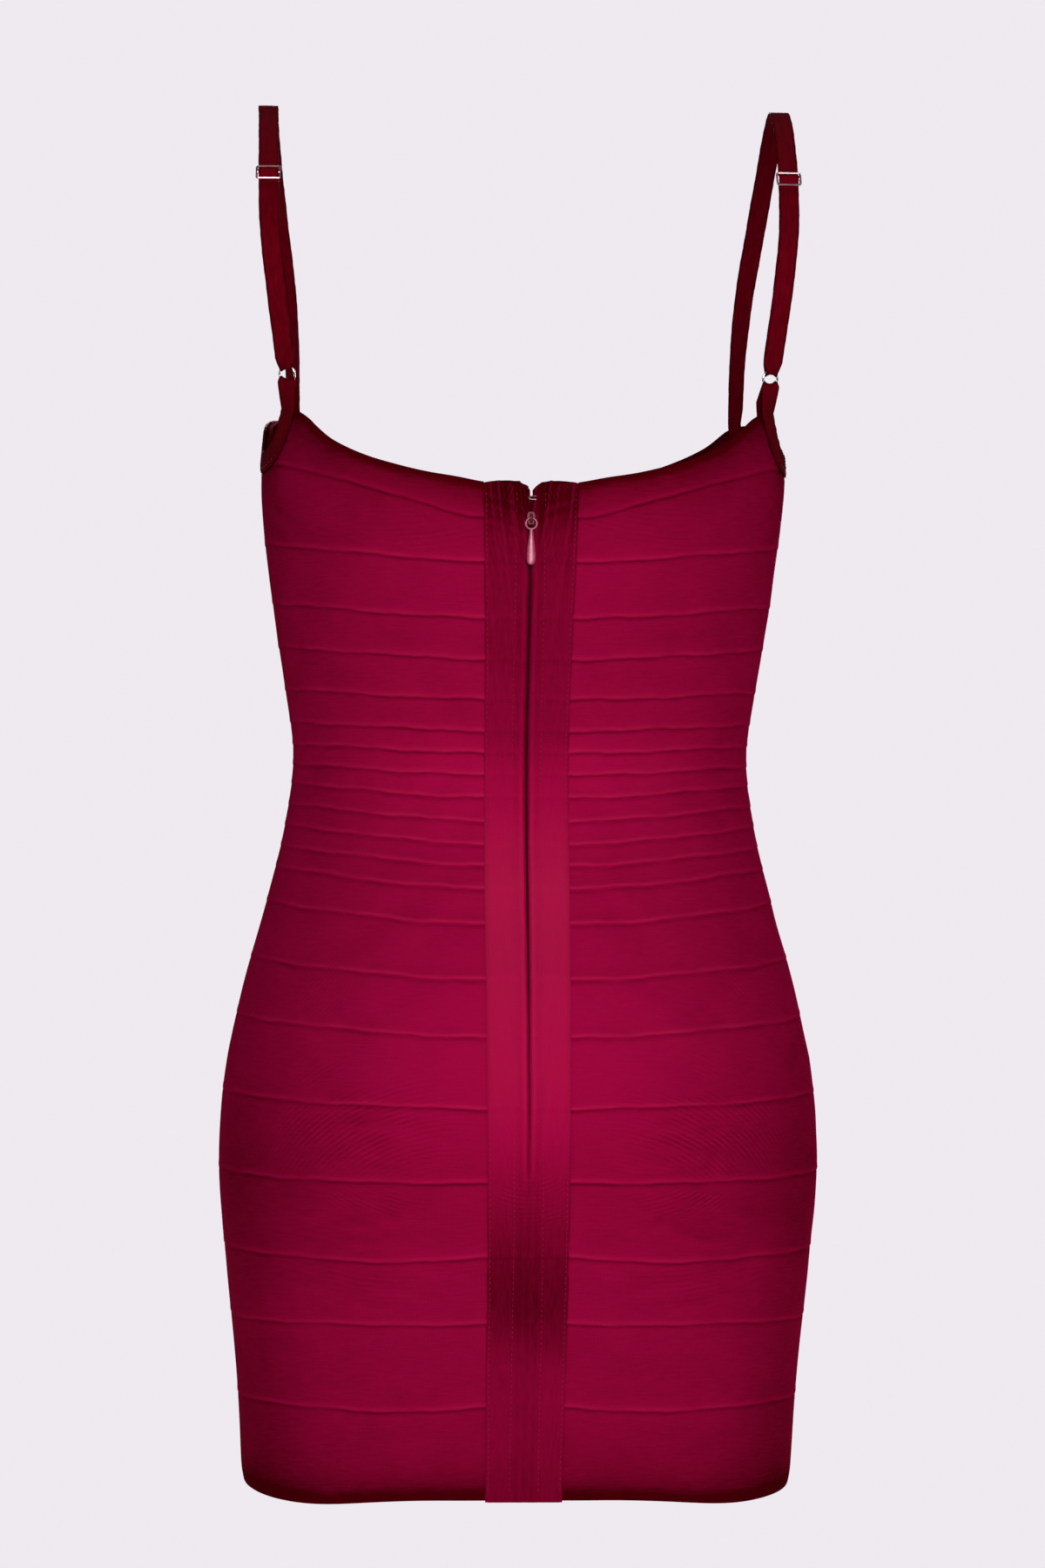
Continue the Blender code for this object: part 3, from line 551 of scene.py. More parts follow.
def stripRows(upper, lower, first, last):
    # levels, outs and shades of one strip's rows over all its columns
    look = clothLook
    strength = look["firstSeam"] if first else 1.0
    tops = rolledRows(look["fold"]) if first else look["upper"]
    lows = rolledRows(look["hem"]) if last else [
        Row(away, out * strength, shade * strength) for away, out, shade in look["lower"]]
    start, end = upper - tops[-1].away, lower + lows[0].away
    between = max(1, round(float(np.median(start - end)) / look["rowEvery"]))
    rows = [(upper - away, out, shade) for away, out, shade in tops]
    for k in range(1, between):
        share = k / between
        rows.append((start + (end - start) * share, tops[-1].out + (lows[0].out - tops[-1].out) * share, 0.0))
    return rows + [(lower + away, out, shade) for away, out, shade in lows]


Crease = namedtuple("Crease", "round z length width depth turn")  # a soft trough; turn in degrees
backCreases = rowsOf(Crease, (
    (0.34, -566, 26, 2.0, 0.34, -9), (0.42, -571, 30, 1.7, 0.30, -12), (0.31, -577, 22, 1.6, 0.26, -6),
    (0.47, -580, 24, 1.8, 0.28, -14), (0.38, -556, 34, 2.2, 0.30, -7), (0.52, -561, 26, 1.6, 0.26, -16),
    (0.26, -553, 18, 1.5, 0.20, -4), (0.44, -543, 28, 1.8, 0.24, -10), (0.30, -603, 20, 1.8, 0.32, -22),
    (0.36, -610, 26, 2.0, 0.34, -15), (0.44, -618, 30, 2.4, 0.40, -5), (0.52, -607, 22, 1.7, 0.24, 9),
    (0.33, -641, 30, 3.0, 0.36, 4), (0.47, -648, 36, 2.6, 0.30, 9), (0.40, -655, 24, 1.8, 0.24, 3),
    (0.24, -637, 16, 1.6, 0.24, -8), (0.30, -676, 20, 1.5, 0.16, 3), (0.50, -700, 34, 2.4, 0.22, 5),
    (0.30, -723, 26, 2.2, 0.22, -3), (0.55, -733, 30, 2.0, 0.20, 4), (0.40, -296, 26, 2.0, 0.16, 4),
    (0.55, -318, 20, 1.6, 0.16, 6), (0.30, -240, 24, 2.2, 0.18, 3), (0.52, -243, 30, 2.6, 0.20, 7),
    (0.74, -226, 22, 2.4, 0.34, 32), (0.80, -240, 26, 2.2, 0.30, 24), (0.70, -470, 30, 2.4, 0.22, 14),
    (0.82, -520, 34, 2.8, 0.26, 10), (0.78, -365, 22, 1.8, 0.26, 4), (0.86, -378, 26, 1.8, 0.28, -3)))
frontCreases = rowsOf(Crease, (
    (1.62, -566, 34, 2.4, 0.34, 8), (1.52, -578, 30, 2.0, 0.30, 12), (1.70, -590, 28, 2.0, 0.26, 5),
    (1.46, -604, 34, 2.4, 0.30, 14), (1.64, -622, 30, 2.2, 0.26, 6), (1.55, -543, 26, 1.8, 0.26, 10),
    (1.80, -575, 22, 1.8, 0.18, 2), (1.50, -650, 30, 2.4, 0.26, -6), (1.36, -560, 26, 2.2, 0.24, 16),
    (1.60, -715, 34, 2.2, 0.20, -4), (1.74, -262, 26, 2.6, 0.30, -16), (1.80, -272, 22, 2.2, 0.26, -10),
    (1.40, -266, 28, 2.6, 0.36, 18), (1.28, -250, 26, 2.4, 0.34, 28), (1.22, -232, 24, 2.4, 0.30, 34),
    (1.30, -365, 26, 2.0, 0.26, 4), (1.20, -378, 26, 1.8, 0.26, -3), (1.86, -372, 20, 1.6, 0.18, 2),
    (1.25, -470, 30, 2.4, 0.22, 12), (1.18, -520, 34, 2.8, 0.24, 9)))

Fan = namedtuple("Fan", "round z across up aboutRound aboutZ spacing depth")  # fine ripples on arcs
backFans = rowsOf(Fan, (
    (0.44, -560, 46, 24, 0.16, -660, 2.7, 1.00), (0.50, -533, 30, 15, 0.20, -640, 2.6, 0.60),
    (0.37, -598, 30, 8, 0.20, -500, 2.3, 0.75), (0.36, -641, 44, 10, 0.30, -470, 2.9, 0.45),
    (0.60, -487, 22, 26, 0.95, -430, 2.8, 0.35), (0.30, -236, 40, 9, 0.40, -60, 3.0, 0.35)))
frontFans = rowsOf(Fan, (
    (1.52, -562, 50, 24, 1.84, -660, 2.7, 0.80), (1.64, -600, 34, 10, 1.80, -500, 2.4, 0.55),
    (1.82, -575, 26, 16, 2.00, -480, 2.6, 0.45), (1.40, -487, 24, 26, 1.05, -430, 2.8, 0.35),
    (1.72, -268, 30, 12, 1.40, -200, 2.8, 0.60), (1.24, -246, 24, 24, 1.60, -215, 2.8, 0.60)))


def rippleFans(rounds, levels, fans, nudge):
    # which turn of its fan's ripples each point is at, and how strongly it is pinched there
    length = quarterAt(rounds, levels)
    draw = random.Random(nudge)
    best, rival, turns = np.zeros((3, *rounds.shape))
    for fan in fans:
        across = (rounds - fan.round - draw.uniform(-0.02, 0.02)) * length
        up = levels - fan.z - draw.uniform(-3, 3)
        pinch = fan.depth * draw.uniform(0.8, 1.1) * bell(across, fan.across) * bell(up, fan.up)
        away = np.hypot((rounds - fan.aboutRound) * length, levels - fan.aboutZ)
        stronger = pinch > best
        rival = np.where(stronger, best, np.maximum(rival, pinch))
        turns = np.where(stronger, away / fan.spacing, turns)
        best = np.where(stronger, pinch, best)
    return np.stack([turns, best - rival], -1)


def creaseRelief(rounds, levels, creases, nudge):
    # each trough has a softer ridge below it; nudge moves it a little, so that the two halves differ
    relief = np.zeros(np.broadcast(rounds, levels).shape)
    length = quarterAt(rounds, levels)
    draw = random.Random(nudge)
    for crease in creases:
        slant = math.radians(crease.turn + draw.uniform(-4, 4))
        across = (rounds - crease.round - draw.uniform(-0.02, 0.02)) * length
        above = levels - crease.z - draw.uniform(-2, 2)
        run = across * math.cos(slant) + above * math.sin(slant)
        rise = above * math.cos(slant) - across * math.sin(slant) + run * run * 0.0018  # a little bowed
        fade = np.exp(-1.6 * (run / crease.length) ** 2)
        deep = crease.depth * draw.uniform(0.75, 1.2)
        ridge = bell(rise + 1.7 * crease.width, 1.3 * crease.width)
        relief += deep * fade * (0.6 * ridge - bell(rise, crease.width))
    return relief


elasticLook = {
    "armholeWidth": 11.5,
    "thick": 1.0,
    "out": -0.05,  # the inner face of the armhole's elastic from the panels' skin, which it presses in
    "press": -0.75,
    "pressFade": 1.6,
    "pressLevel": -225,  # no part of it is lower
    "every": 1.2,
    "turnOver": 9.0,  # from lying along the corner to lying along the armhole
    "columns": (0, 0.3, 0.9, 2.2, 4, 5.75, 7.5, 9.3, 10.6, 11.2, 11.5),
}


def edgePoint(rounds):  # on the top edge, as millimetres round and up
    return np.stack([rounds * roundLength, topAt(rounds)], -1)


def armholePath(every):
    # the armhole's edge on the left, back corner to front corner: lengths along, places, and the way down
    # the cloth from each, as millimetres round and up
    inner, outer = dressForm["backCorner"]
    path = edgePoint(np.linspace(outer, dressForm["frontCorner"][1], 400))
    along = runAlong(path)
    places = np.linspace(0, along[-1], round(along[-1] / every))
    path = np.stack([np.interp(places, along, path[:, k]) for k in (0, 1)], -1)
    smooth = np.gradient(path, axis=0)
    for _ in range(6):
        smooth[1:-1] = (smooth[:-2] + 2 * smooth[1:-1] + smooth[2:]) / 4
    smooth = unit(smooth)
    below = np.stack([smooth[:, 1], -smooth[:, 0]], -1)
    corner = unit(edgePoint(inner) - edgePoint(outer))
    share = np.clip(places / elasticLook["turnOver"], 0, 1)[:, None]
    return places, path, unit(corner * (1 - share) + below * share)


def pressedIn(rounds, levels):
    # how far the armhole's elastic presses each point of a panel in
    look = elasticLook
    path = armholePath(2.5)[1]
    path = np.concatenate([path, np.linspace(path[0], edgePoint(dressForm["backCorner"][0]), 5)])
    away = np.full(rounds.shape, 99.0)
    near = levels > look["pressLevel"]
    spots = np.stack([rounds[near] * roundLength, levels[near]], -1)
    away[near] = np.linalg.norm(spots[:, None] - path[None], axis=-1).min(1)
    share = np.clip((look["armholeWidth"] + look["pressFade"] - 0.6 - away) / look["pressFade"], 0, 1)
    return look["press"] * ease(share)


panelLook = {
    "knitRound": 210,  # millimetres of knit to a round
    "swellRound": 205,
    "seamWaver": ((90, 0.35), (37, 0.22), (14, 0.10)),  # lengths and heights
    "swell": ((64, 0.16), (41, 0.12)),
    "swellChange": ((75, 0.8), (33, 0.6)),
    "patches": ((50, 0.7), (21, 0.5)),
    "inner": slice(8, -6),  # the rows between the fold at the top and the hem
    "taut": {"least": 0.45, "over": 0.32},
    "underTop": ((0.70, 15), (0.30, 45)),  # painted shade: how dark, and over how many millimetres
    "overHem": ((0.45, 14), (0.34, 60)),
    "seat": {"level": -590, "over": 52, "dark": 0.20},
    "flank": {"at": 0.26, "over": 0.13, "dark": 0.10, "darkHips": 0.14},
    "hips": {"from": -500, "over": 70},
    "sideSeam": {"over": 0.004, "dark": 0.30, "flush": 0.04, "deep": 0.35},
    "backEvery": 0.0105,  # from column to column, in rounds
    "frontEvery": 0.0132,
}


def panelGrid(columns, creases, fans, nudge, roundAt, side):
    # columns are nominal rounds; roundAt gives the real one at each level
    look = panelLook
    rounds = np.asarray(columns, float)
    ends = [firstSeamAt(rounds)] + [seamAt(seam, rounds) for seam in dressForm["seams"]]
    for k, end in enumerate(ends):
        end += waver(100 + k, look["seamWaver"])(rounds * look["knitRound"])
    ends.append(hemAt(rounds))
    upper = topAt(rounds)
    rows = []
    for k, lower in enumerate(ends):
        rows += stripRows(upper, lower, k == 0, k == len(ends) - 1)
        upper = lower
    levels, outs, shades = (
        np.array([np.broadcast_to(value, rounds.shape) for value in values]) for values in zip(*rows))
    real = roundAt(rounds[None, :], levels)
    toSide = 1 - np.minimum(real, 2 - real)
    taut = look["taut"]  # the seams are pulled flatter at the sides
    flat = taut["least"] + (1 - taut["least"]) * np.clip(toSide / taut["over"], 0, 1)[look["inner"]]
    outs[look["inner"]] *= flat
    shades[look["inner"]] *= flat
    relief = creaseRelief(real, levels, creases, nudge)
    across = real * look["swellRound"]
    swell = waver(nudge + 7, look["swell"])(across + levels * 0.3)
    swell = swell * waver(nudge + 8, look["swellChange"])(levels)
    shades = shades * (0.8 + 0.2 * waver(nudge + 9, look["patches"])(across))
    # painted shade in the creases' troughs, and painted highlight on their ridges
    shades = shades - np.clip(relief, -0.4, 0.3) * 0.35
    # painted shade under the top edge, above the hem, over the seat, on the flanks and at the side seams,
    # standing in for how the light falls
    down, above = topAt(rounds) - levels, levels - hemAt(rounds)
    shades = shades + sum(dark * np.exp(-down / over) for dark, over in look["underTop"])
    shades = shades + sum(dark * bell(above, over) for dark, over in look["overHem"])
    seat, flank, seam = look["seat"], look["flank"], look["sideSeam"]
    hips = np.clip((look["hips"]["from"] - levels) / look["hips"]["over"], 0, 1)
    offSide = np.clip(toSide / 0.2, 0.3, 1)
    shades = shades + seat["dark"] * bell(levels - seat["level"], seat["over"]) * offSide
    shades = shades + (flank["dark"] + flank["darkHips"] * hips) * bell(toSide - flank["at"], flank["over"])
    shades = shades + seam["dark"] * bell(toSide, seam["over"])
    meet = ease(np.clip(toSide / seam["flush"], 0, 1))  # front and back lie flush at the side seams
    outs = outs + (relief + swell) * meet - seam["deep"] * bell(toSide, 0.005)
    points = placeAt(real, levels, outs + pressedIn(real, levels), side)
    weave = np.stack([real * look["knitRound"] * side, levels], -1)
    return points, weave, shades, rippleFans(real, levels, fans, nudge + 3)


def evenColumns(begin, end, every, kept=()):
    even = np.linspace(begin, end, max(2, round((end - begin) / every)) + 1)
    near = [e for e in even if all(abs(e - k) > every * 0.4 for k in kept) or e in (begin, end)]
    return np.array(sorted([*near, *kept]))


def makeBackPanel(word, side):
    form, look = dressForm, panelLook
    sideSeam = 1 - form["seamGap"] / 2 / quarterLength(form["seamLevel"])

    def startAt(levels):
        return (placketAt(levels) + form["seamGap"]) / quarterLength(levels)

    def roundAt(nominal, levels):
        start = startAt(levels)
        return np.minimum(start + (1 - start) * spread[None, :], sideSeam)

    begin = startAt(form["topEdge"][0].top)
    corners = [e.round for e in form["topEdge"] if form["backCorner"][0] <= e.round < 0.75]
    columns = evenColumns(begin, sideSeam, look["backEvery"], [begin + 0.002, begin + 0.005, *corners])
    spread = (columns - begin) / (1 - begin)
    nudge = 11 if side > 0 else 12
    points, weave, shades, ripple = panelGrid(columns, backCreases, backFans, nudge, roundAt, side)
    shades += 0.16 * bell(spread * 180, 0.9)[None, :]  # painted shade beside the placket
    return clothSheet(f"backPanel.{word}", "knit", [f"back_{word}"], knit, points, weave, shades, ripple)


def makeFrontPanel():
    form, look = dressForm, panelLook
    sideSeam = 1 + form["seamGap"] / 2 / quarterLength(form["seamLevel"], True)
    corners = [e.round for e in form["topEdge"] if 1.3 < e.round < 1.42]
    half = evenColumns(sideSeam, 2, look["frontEvery"], corners)
    right, left = (panelGrid(half, frontCreases, frontFans, nudge, lambda r, z: r + z * 0, side)
                   for side, nudge in ((-1, 21), (1, 22)))
    points, weave, shades, ripple = (np.concatenate([a, b[:, -2::-1]], 1) for a, b in zip(right, left))
    middle = len(half) - 1
    points[:, middle] = (right[0][:, -1] + left[0][:, -1]) / 2
    weave[:, middle + 1:, 0] -= 4 * look["knitRound"]  # carries on from the middle
    return clothSheet("frontPanel", "knit", ["front"], knit, points, weave, shades, ripple)


Band = namedtuple("Band", "strength at over")  # a soft line along an edge, in millimetres
placketLook = {
    "slit": ((-205, 0.66), (-440, 0.60), (-480, 0.50), (-502, 0.26), (-545, 0.22), (-572, 0.08),
             (-587, -0.12)),
    "slitShade": ((-225, 0.0), (-245, 0.24), (-340, 0.30), (-385, 0.52), (-420, 0.62), (-480, 0.62),
                  (-503, 0.46), (-535, 0.40), (-560, 0.20), (-600, 0.0)),
    "zipEnd": -579,
    "closeOver": 12,
    "puff": 1.4,
    "notch": 4.0,
    "stitchFromZip": 7.8,
    "stitchFromEdge": 1.2,
    "stitchDeep": 0.14,
    "edgeRoll": 0.55,
    "topRoll": 0.6,
    "overlap": 0.4,  # it lies this far over the panel beside it
    "edgeShade": rowsOf(Band, ((-0.15, 0.9, 0.7), (0.22, 0, 0.35))),
    "seamAbove": 0.3,  # the panels' seams press through, this far above their line
    "seamOut": rowsOf(Band, ((0.10, 1.5, 1.3), (-0.12, 0, 0.7))),
    "seamShade": rowsOf(Band, ((0.07, 0, 0.8), (-0.07, 1.5, 1.0))),
    # painted shade by level, painted light where negative: the placket's slopes turn away from or towards the
    # lamps
    "tone": ((-212, 1.00), (-226, 0.86), (-243, 0.62), (-271, 0.48), (-297, 0.43), (-318, 0.34), (-351, 0.34),
             (-378, 0.12), (-388, 0.05), (-426, -0.48), (-463, -0.42), (-496, -0.26), (-531, -0.14),
             (-560, 0.05), (-571, 0.15), (-609, 0.50), (-640, 0.74), (-655, 0.74), (-688, 0.30), (-718, 0.32),
             (-746, 0.46), (-762, 0.60)),
}
placketFans = rowsOf(Fan, (
    (0.05, -222, 16, 16, 0.30, -190, 2.2, 0.7), (0.05, -246, 16, 14, -0.2, -230, 2.6, 0.4),
    (0.05, -596, 14, 12, 0.00, -560, 2.4, 0.6)))


def placketTop(share):
    look = placketLook
    puff = look["puff"] * np.sin(math.pi * np.clip(share, 0, 1)) ** 0.7
    return topAt(0.05) + puff - look["notch"] * (1 - share) ** 8


def pucker(aside, down, nudge):
    # gathers in the stretched top of a placket, which fade downwards
    first = waver(nudge, ((6.6, 1.0), (4.1, 0.7), (10.5, 0.8)))(aside + 0.12 * down)
    second = waver(nudge + 1, ((8.5, 0.8), (5.0, 0.5)))(down + 0.35 * aside)
    strength = 0.85 * bell(down, 15) + 0.20 * bell(down, 70) + 0.05
    return strength * (0.55 * first + 0.35 * second)


def banded(bands, away):
    return sum(band.strength * bell(away - band.at, band.over) for band in bands)


def makePlacket(word, side):
    look, form = placketLook, dressForm
    nudge = 31 if side > 0 else 35
    shares = np.concatenate([[0, 0.012, 0.035, 0.07], np.linspace(0.11, 0.90, 26), [0.94, 0.968, 0.988, 1]])
    falls = np.concatenate([[0, 0.3, 0.8, 1.5], np.arange(2.3, 32, 0.9), np.arange(34, 549, 2.4), [549, 550]])
    top = placketTop(shares)[None, :]
    levels = top + (form["hem"] - 0.6 - top) * (falls / falls[-1])[:, None]
    slit = alongRows(look["slit"], levels)
    edge = placketAt(levels) + look["overlap"]
    aside = slit + (edge - slit) * shares[None, :]
    down, toEdge, toSlit = top - levels, edge - aside, aside - slit
    gathers = pucker(aside, down, nudge)
    out = np.full_like(levels, form["placketRise"]) + gathers * np.clip(toEdge / 3, 0, 1)
    below = np.clip((look["zipEnd"] - levels) / look["closeOver"], 0, 1)  # sewn together there
    out -= look["edgeRoll"] * ((1 - 0.75 * below) * bell(toSlit, 0.8) + bell(toEdge, 0.8))
    out -= look["topRoll"] * bell(down, 0.9)
    for line in (aside - look["stitchFromZip"], toEdge - look["stitchFromEdge"]):
        out -= look["stitchDeep"] * bell(line, 0.7)
    # painted shade: by level, in the gathers' troughs (painted highlight on their ridges), at the top by the
    # slit, in the slit's groove, along the edge and at the panels' seams
    shade = alongRows(look["tone"], levels) - np.clip(gathers, -0.8, 0.6) * 0.30
    shade = shade + 0.22 * bell(down, 20) * bell(toSlit, 12)
    shade = shade + alongRows(look["slitShade"], levels) * bell(toSlit, 0.95)
    shade = shade - 0.16 * (1 - 0.85 * below) * bell(toSlit - 2.3, 0.9)  # a painted highlight on the rim by the slit
    shade = shade + 0.10 * bell(toSlit - 4.6, 1.8) + 0.10 * below * bell(toSlit, 2.2)
    shade = shade + banded(look["edgeShade"], toEdge)
    for seam in form["seams"]:
        beyond = levels - seam.z - look["seamAbove"]
        out += banded(look["seamOut"], beyond)
        shade += banded(look["seamShade"], beyond)
    rounds = aside / quarterLength(levels)
    return clothSheet(
        f"placketStrip.{word}", "placket_knit", [f"placket_{word}"], placketKnit,
        placeAt(rounds, levels, out, side), np.stack([aside * side, levels], -1), shade,
        rippleFans(rounds, levels, placketFans, nudge + 5))


sides = (("left", 1), ("right", -1))
frontPanel = makeFrontPanel()
backPanels = [makeBackPanel(word, side) for word, side in sides]
placketStrips = [makePlacket(word, side) for word, side in sides]
print("panels and plackets made")


# ---- elastics

Strap = namedtuple("Strap", "x y z turn")  # turn of the face towards the side, in degrees
Rise = namedtuple("Rise", "along height")
strapLook = {
    "rows": rowsOf(Strap, (
        (126.8, -75.3, -160.0, -48), (127.4, -73.5, -135.0, -42), (130.5, -67.5, -96.0, -25),
        (135.5, -56.0, -60.0, -11), (139.8, -38.0, -26.0, -3), (141.7, -18.5, -5.6, 0), (142.2, 0.0, 0.6, 0),
        (142.0, 21.0, -6.5, 0), (142.0, 42.0, -24.0, 1), (142.0, 56.0, -43.5, 3), (141.4, 67.0, -71.0, 8),
        (137.5, 72.5, -108.0, 13), (133.5, 70.0, -139.0, 20), (132.2, 68.6, -149.0, 22))),
    "sliderRow": 9,
    "levels": 150,
    "hump": rowsOf(Rise, ((-3.4, 0), (-1.6, 1.6), (-0.8, 2.85), (0.8, 2.85), (1.6, 1.6), (3.4, 0))),
    "width": 11.0,
    "thick": 1.0,
    "neck": 6.6,  # its width where it turns round a ring
    "neckLength": 5.0,
    "wrap": 1.45,
    "turnSteps": 16,
    "layer": 1.3,
    "tabClear": 1.5,
    "ringRadius": 4.35,
    "ringWire": 0.6,
    "section": ((1, 0), (0.985, 0.55), (0.94, 0.92), (0.7, 1), (0.35, 1.04), (0, 1.05)),  # a quarter of it
}
Spot = namedtuple("Spot", "at middle across out")
Station = namedtuple("Station", "middle across width droop")  # droop: how much it bends over a ring's wire


def strapLine():
    look = strapLook
    rows = np.array(look["rows"], float)
    places = runAlong(rows[:, :3])
    places -= places[look["sliderRow"]]
    ats = np.linspace(places[0], places[-1], look["levels"])
    curves = [smoothCurve(places, rows[:, k])(ats) for k in range(4)]
    middles = [Vector(place) for place in zip(*curves[:3])]
    spots = []
    for i, turn in enumerate(np.radians(curves[3])):
        across = Vector((math.cos(turn), -math.sin(turn), 0))
        along = middles[min(i + 1, len(middles) - 1)] - middles[max(i - 1, 0)]
        spots.append(Spot(float(ats[i]), middles[i], across, across.cross(along).normalized()))
    return spots


def cornerStations(inner, outer, heights, width):
    # an end that is sewn in behind a corner of the cloth
    out = -dressForm["wall"] - strapLook["tabClear"] - strapLook["thick"] / 2
    edge = float(topAt(inner) + topAt(outer)) / 2
    across = Vector(skinAt(outer, edge) - skinAt(inner, edge))
    across.z = 0
    across.normalize()
    middle = (inner + outer) / 2
    return [Station(Vector(placeAt(middle, edge + above, out)), across, width, 0.0) for above in heights]


def bandMesh(name, stations, side, down, material, frayed):
    # a closed flat band with rounded edges; droop bends it over a ring's wire along down
    look = strapLook
    radius = look["ringRadius"]
    half = [*look["section"], *((-u, v) for u, v in look["section"][-2::-1])]
    outline = half + [(u, -v) for u, v in half[-2:0:-1]]
    points, weave, shade = [], [], []
    run = 0.0
    for i, station in enumerate(stations):
        before, after = stations[max(i - 1, 0)], stations[min(i + 1, len(stations) - 1)]
        along = after.middle - before.middle
        run += (station.middle - before.middle).length
        face = station.across.cross(along).normalized()
        across = along.cross(face).normalized()
        for u, v in outline:
            aside = u * (station.width + frayed(run)) / 2
            drop = radius - math.sqrt(radius ** 2 - min(abs(aside), radius * 0.9) ** 2)
            point = station.middle + across * aside + face * (v * look["thick"] / 2)
            point += down * (drop * station.droop)
            points.append((point.x * side, point.y, point.z))
            weave.append((run, aside + (20 if v < 0 else 0)))
            # painted shade on the rounded edges and where the band bends over a ring's wire
            shade.append(0.55 * max(0.0, abs(u) - 0.72) / 0.28 + 0.25 * abs(station.droop))
    size = len(outline)
    faces = []
    for start in range(0, (len(stations) - 1) * size, size):
        for k in range(size):
            a, b = start + k, start + (k + 1) % size
            quad = (a, b, b + size, a + size)
            faces.append(quad if side < 0 else quad[::-1])
    piece = meshObject(name, np.array(points), np.array(faces), np.array(weave), np.array(shade), material)
    selectOnly(piece)
    with editing():
        bpy.ops.mesh.select_all(action="DESELECT")
        bpy.ops.mesh.select_non_manifold()
        bpy.ops.mesh.fill_holes(sides=0)
        bpy.ops.mesh.select_all(action="SELECT")
        bpy.ops.mesh.normals_make_consistent(inside=False)
    piece.data.set_sharp_from_angle(angle=math.radians(60))
    return piece


def makeStrap(word, side):
    look = strapLook
    line = strapLine()
    endAt, end, across, out = line[-1]
    down = (end - line[-2].middle).normalized()
    stations = cornerStations(*dressForm["frontCorner"], (-8, -3, 2), look["width"])

    def addLayer(spot, lift, way):
        closing = max(0.0, 1 - (endAt - spot.at) / look["neckLength"])
        width = look["width"] - (look["width"] - look["neck"]) * closing ** 1.7
        lift += way * (look["wrap"] - look["layer"] / 2) * closing ** 2
        stations.append(Station(spot.middle + spot.out * lift, spot.across, width, closing ** 3))

    alongs, heights = zip(*look["hump"])
    for spot in line:
        addLayer(spot, float(np.interp(spot.at, alongs, heights)), 1)
    wire = end - out * look["layer"] / 2
    for k in range(1, look["turnSteps"]):
        turn = math.pi * k / look["turnSteps"]
        point = wire + out * look["wrap"] * math.cos(turn) + down * look["wrap"] * math.sin(turn)
        stations.append(Station(point, across, look["neck"], 1.0))
    for spot in reversed(line):
        if spot.at < 0.5:
            break
        addLayer(spot, max(0.0, 3 - spot.at) / 3 - look["layer"], -1)
    wavy = waver(51 if side > 0 else 52, ((5.2, 0.10), (11, 0.12), (31, 0.12)))
    piece = bandMesh(f"shoulderStrap.{word}", stations, side, down, satin, wavy)
    belongTo(piece, "dress", "satin_elastic", f"strap_{word}")
    ringMiddle = wire + down * look["ringRadius"]
    band = makeArmholeBand(word, side, ringMiddle + down * look["ringRadius"], down, across, out)
    makeRing(word, side, ringMiddle, down, across)
    return piece, band


def makeArmholeBand(word, side, wire, down, across, out):
    # one elastic: sewn behind the back's corner, round the ring, down over the corner and along the armhole
    look, strap = elasticLook, strapLook
    columns = np.array(look["columns"])
    half = look["armholeWidth"] / 2
    ring, wrap, neck, full = strap["ringRadius"], strap["wrap"], strap["neck"], strap["width"] * 0.97
    rows, darks = [], []

    # dark: the row's painted shade, behind the cloth's corner and where it wraps round the ring
    def crossRow(middle, wide, face, width, droop, dark):
        spots = (half - columns) / half * width / 2
        drop = ring - np.sqrt(ring ** 2 - np.minimum(np.abs(spots), ring * 0.85) ** 2)
        middle = np.array(middle + face * (look["thick"] / 2))
        rows.append(middle + np.outer(spots, wide) - np.outer(drop * droop, down))
        darks.append(dark)

    inner, outer = dressForm["backCorner"]
    hidden = strap["width"] * 0.84  # its width behind the cloth
    corner = cornerStations(inner + 0.014, outer, (-7, -4, -1, 2), hidden)
    for station in corner:
        crossRow(station.middle, station.across, -out, hidden, 0.0, 0.2)
    for share in (0.3, 0.6, 0.85):
        middle = corner[-1].middle.lerp(wire - out * wrap, share)
        crossRow(middle, across, -out, hidden + (neck - hidden) * share, share, 0.2)
    for k in range(strap["turnSteps"] + 1):
        turn = math.pi * k / strap["turnSteps"]
        face = -out * math.cos(turn) - down * math.sin(turn)
        spreading = max(0.0, turn / (math.pi / 2) - 1) ** 0.7
        closed = 1 - spreading
        crossRow(wire + face * wrap, across, face, neck + (full - neck) * spreading, closed, 0.30 * closed)
    places, path, below = armholePath(look["every"])
    spots = path[:, None, :] + below[:, None, :] * columns[None, :, None]
    edge = np.minimum(columns, look["armholeWidth"] - columns)
    wavy = waver(41 if side > 0 else 42, ((7, 0.10), (4.3, 0.07)))(places)[:, None]
    outs = look["out"] + look["thick"] - 0.35 * bell(edge, 0.5) + wavy * (0.4 + np.exp(-edge / 2))
    armhole = placeAt(spots[..., 0] / roundLength, spots[..., 1], outs)
    front = rows[-1]
    for share in (0.3, 0.62):  # down from the ring to the corner
        bulge = np.array(out) * 0.35 * math.sin(math.pi * ease(share))
        rows.append(front * (1 - share) + armhole[0] * share + bulge)
        darks.append(0.0)
    points = np.concatenate([np.array(rows), armhole])
    points[..., 0] *= side
    # painted shade near the corner along the armhole and towards the band's edges
    dark = np.concatenate([darks, 0.12 * np.exp(-places / 3)])
    shade = dark[:, None] + 0.40 * np.exp(-edge / 0.7)[None, :]
    weave = np.stack(np.broadcast_arrays(runAlong(points[:, 5])[:, None], columns[None, :]), -1)
    return clothSheet(
        f"armholeElastic.{word}", "satin_elastic", [f"armhole_{word}", f"ring_tab_{word}"], satin,
        points, weave, shade, thick=look["thick"])


# ---- metalwork, modelled with the mesh tools

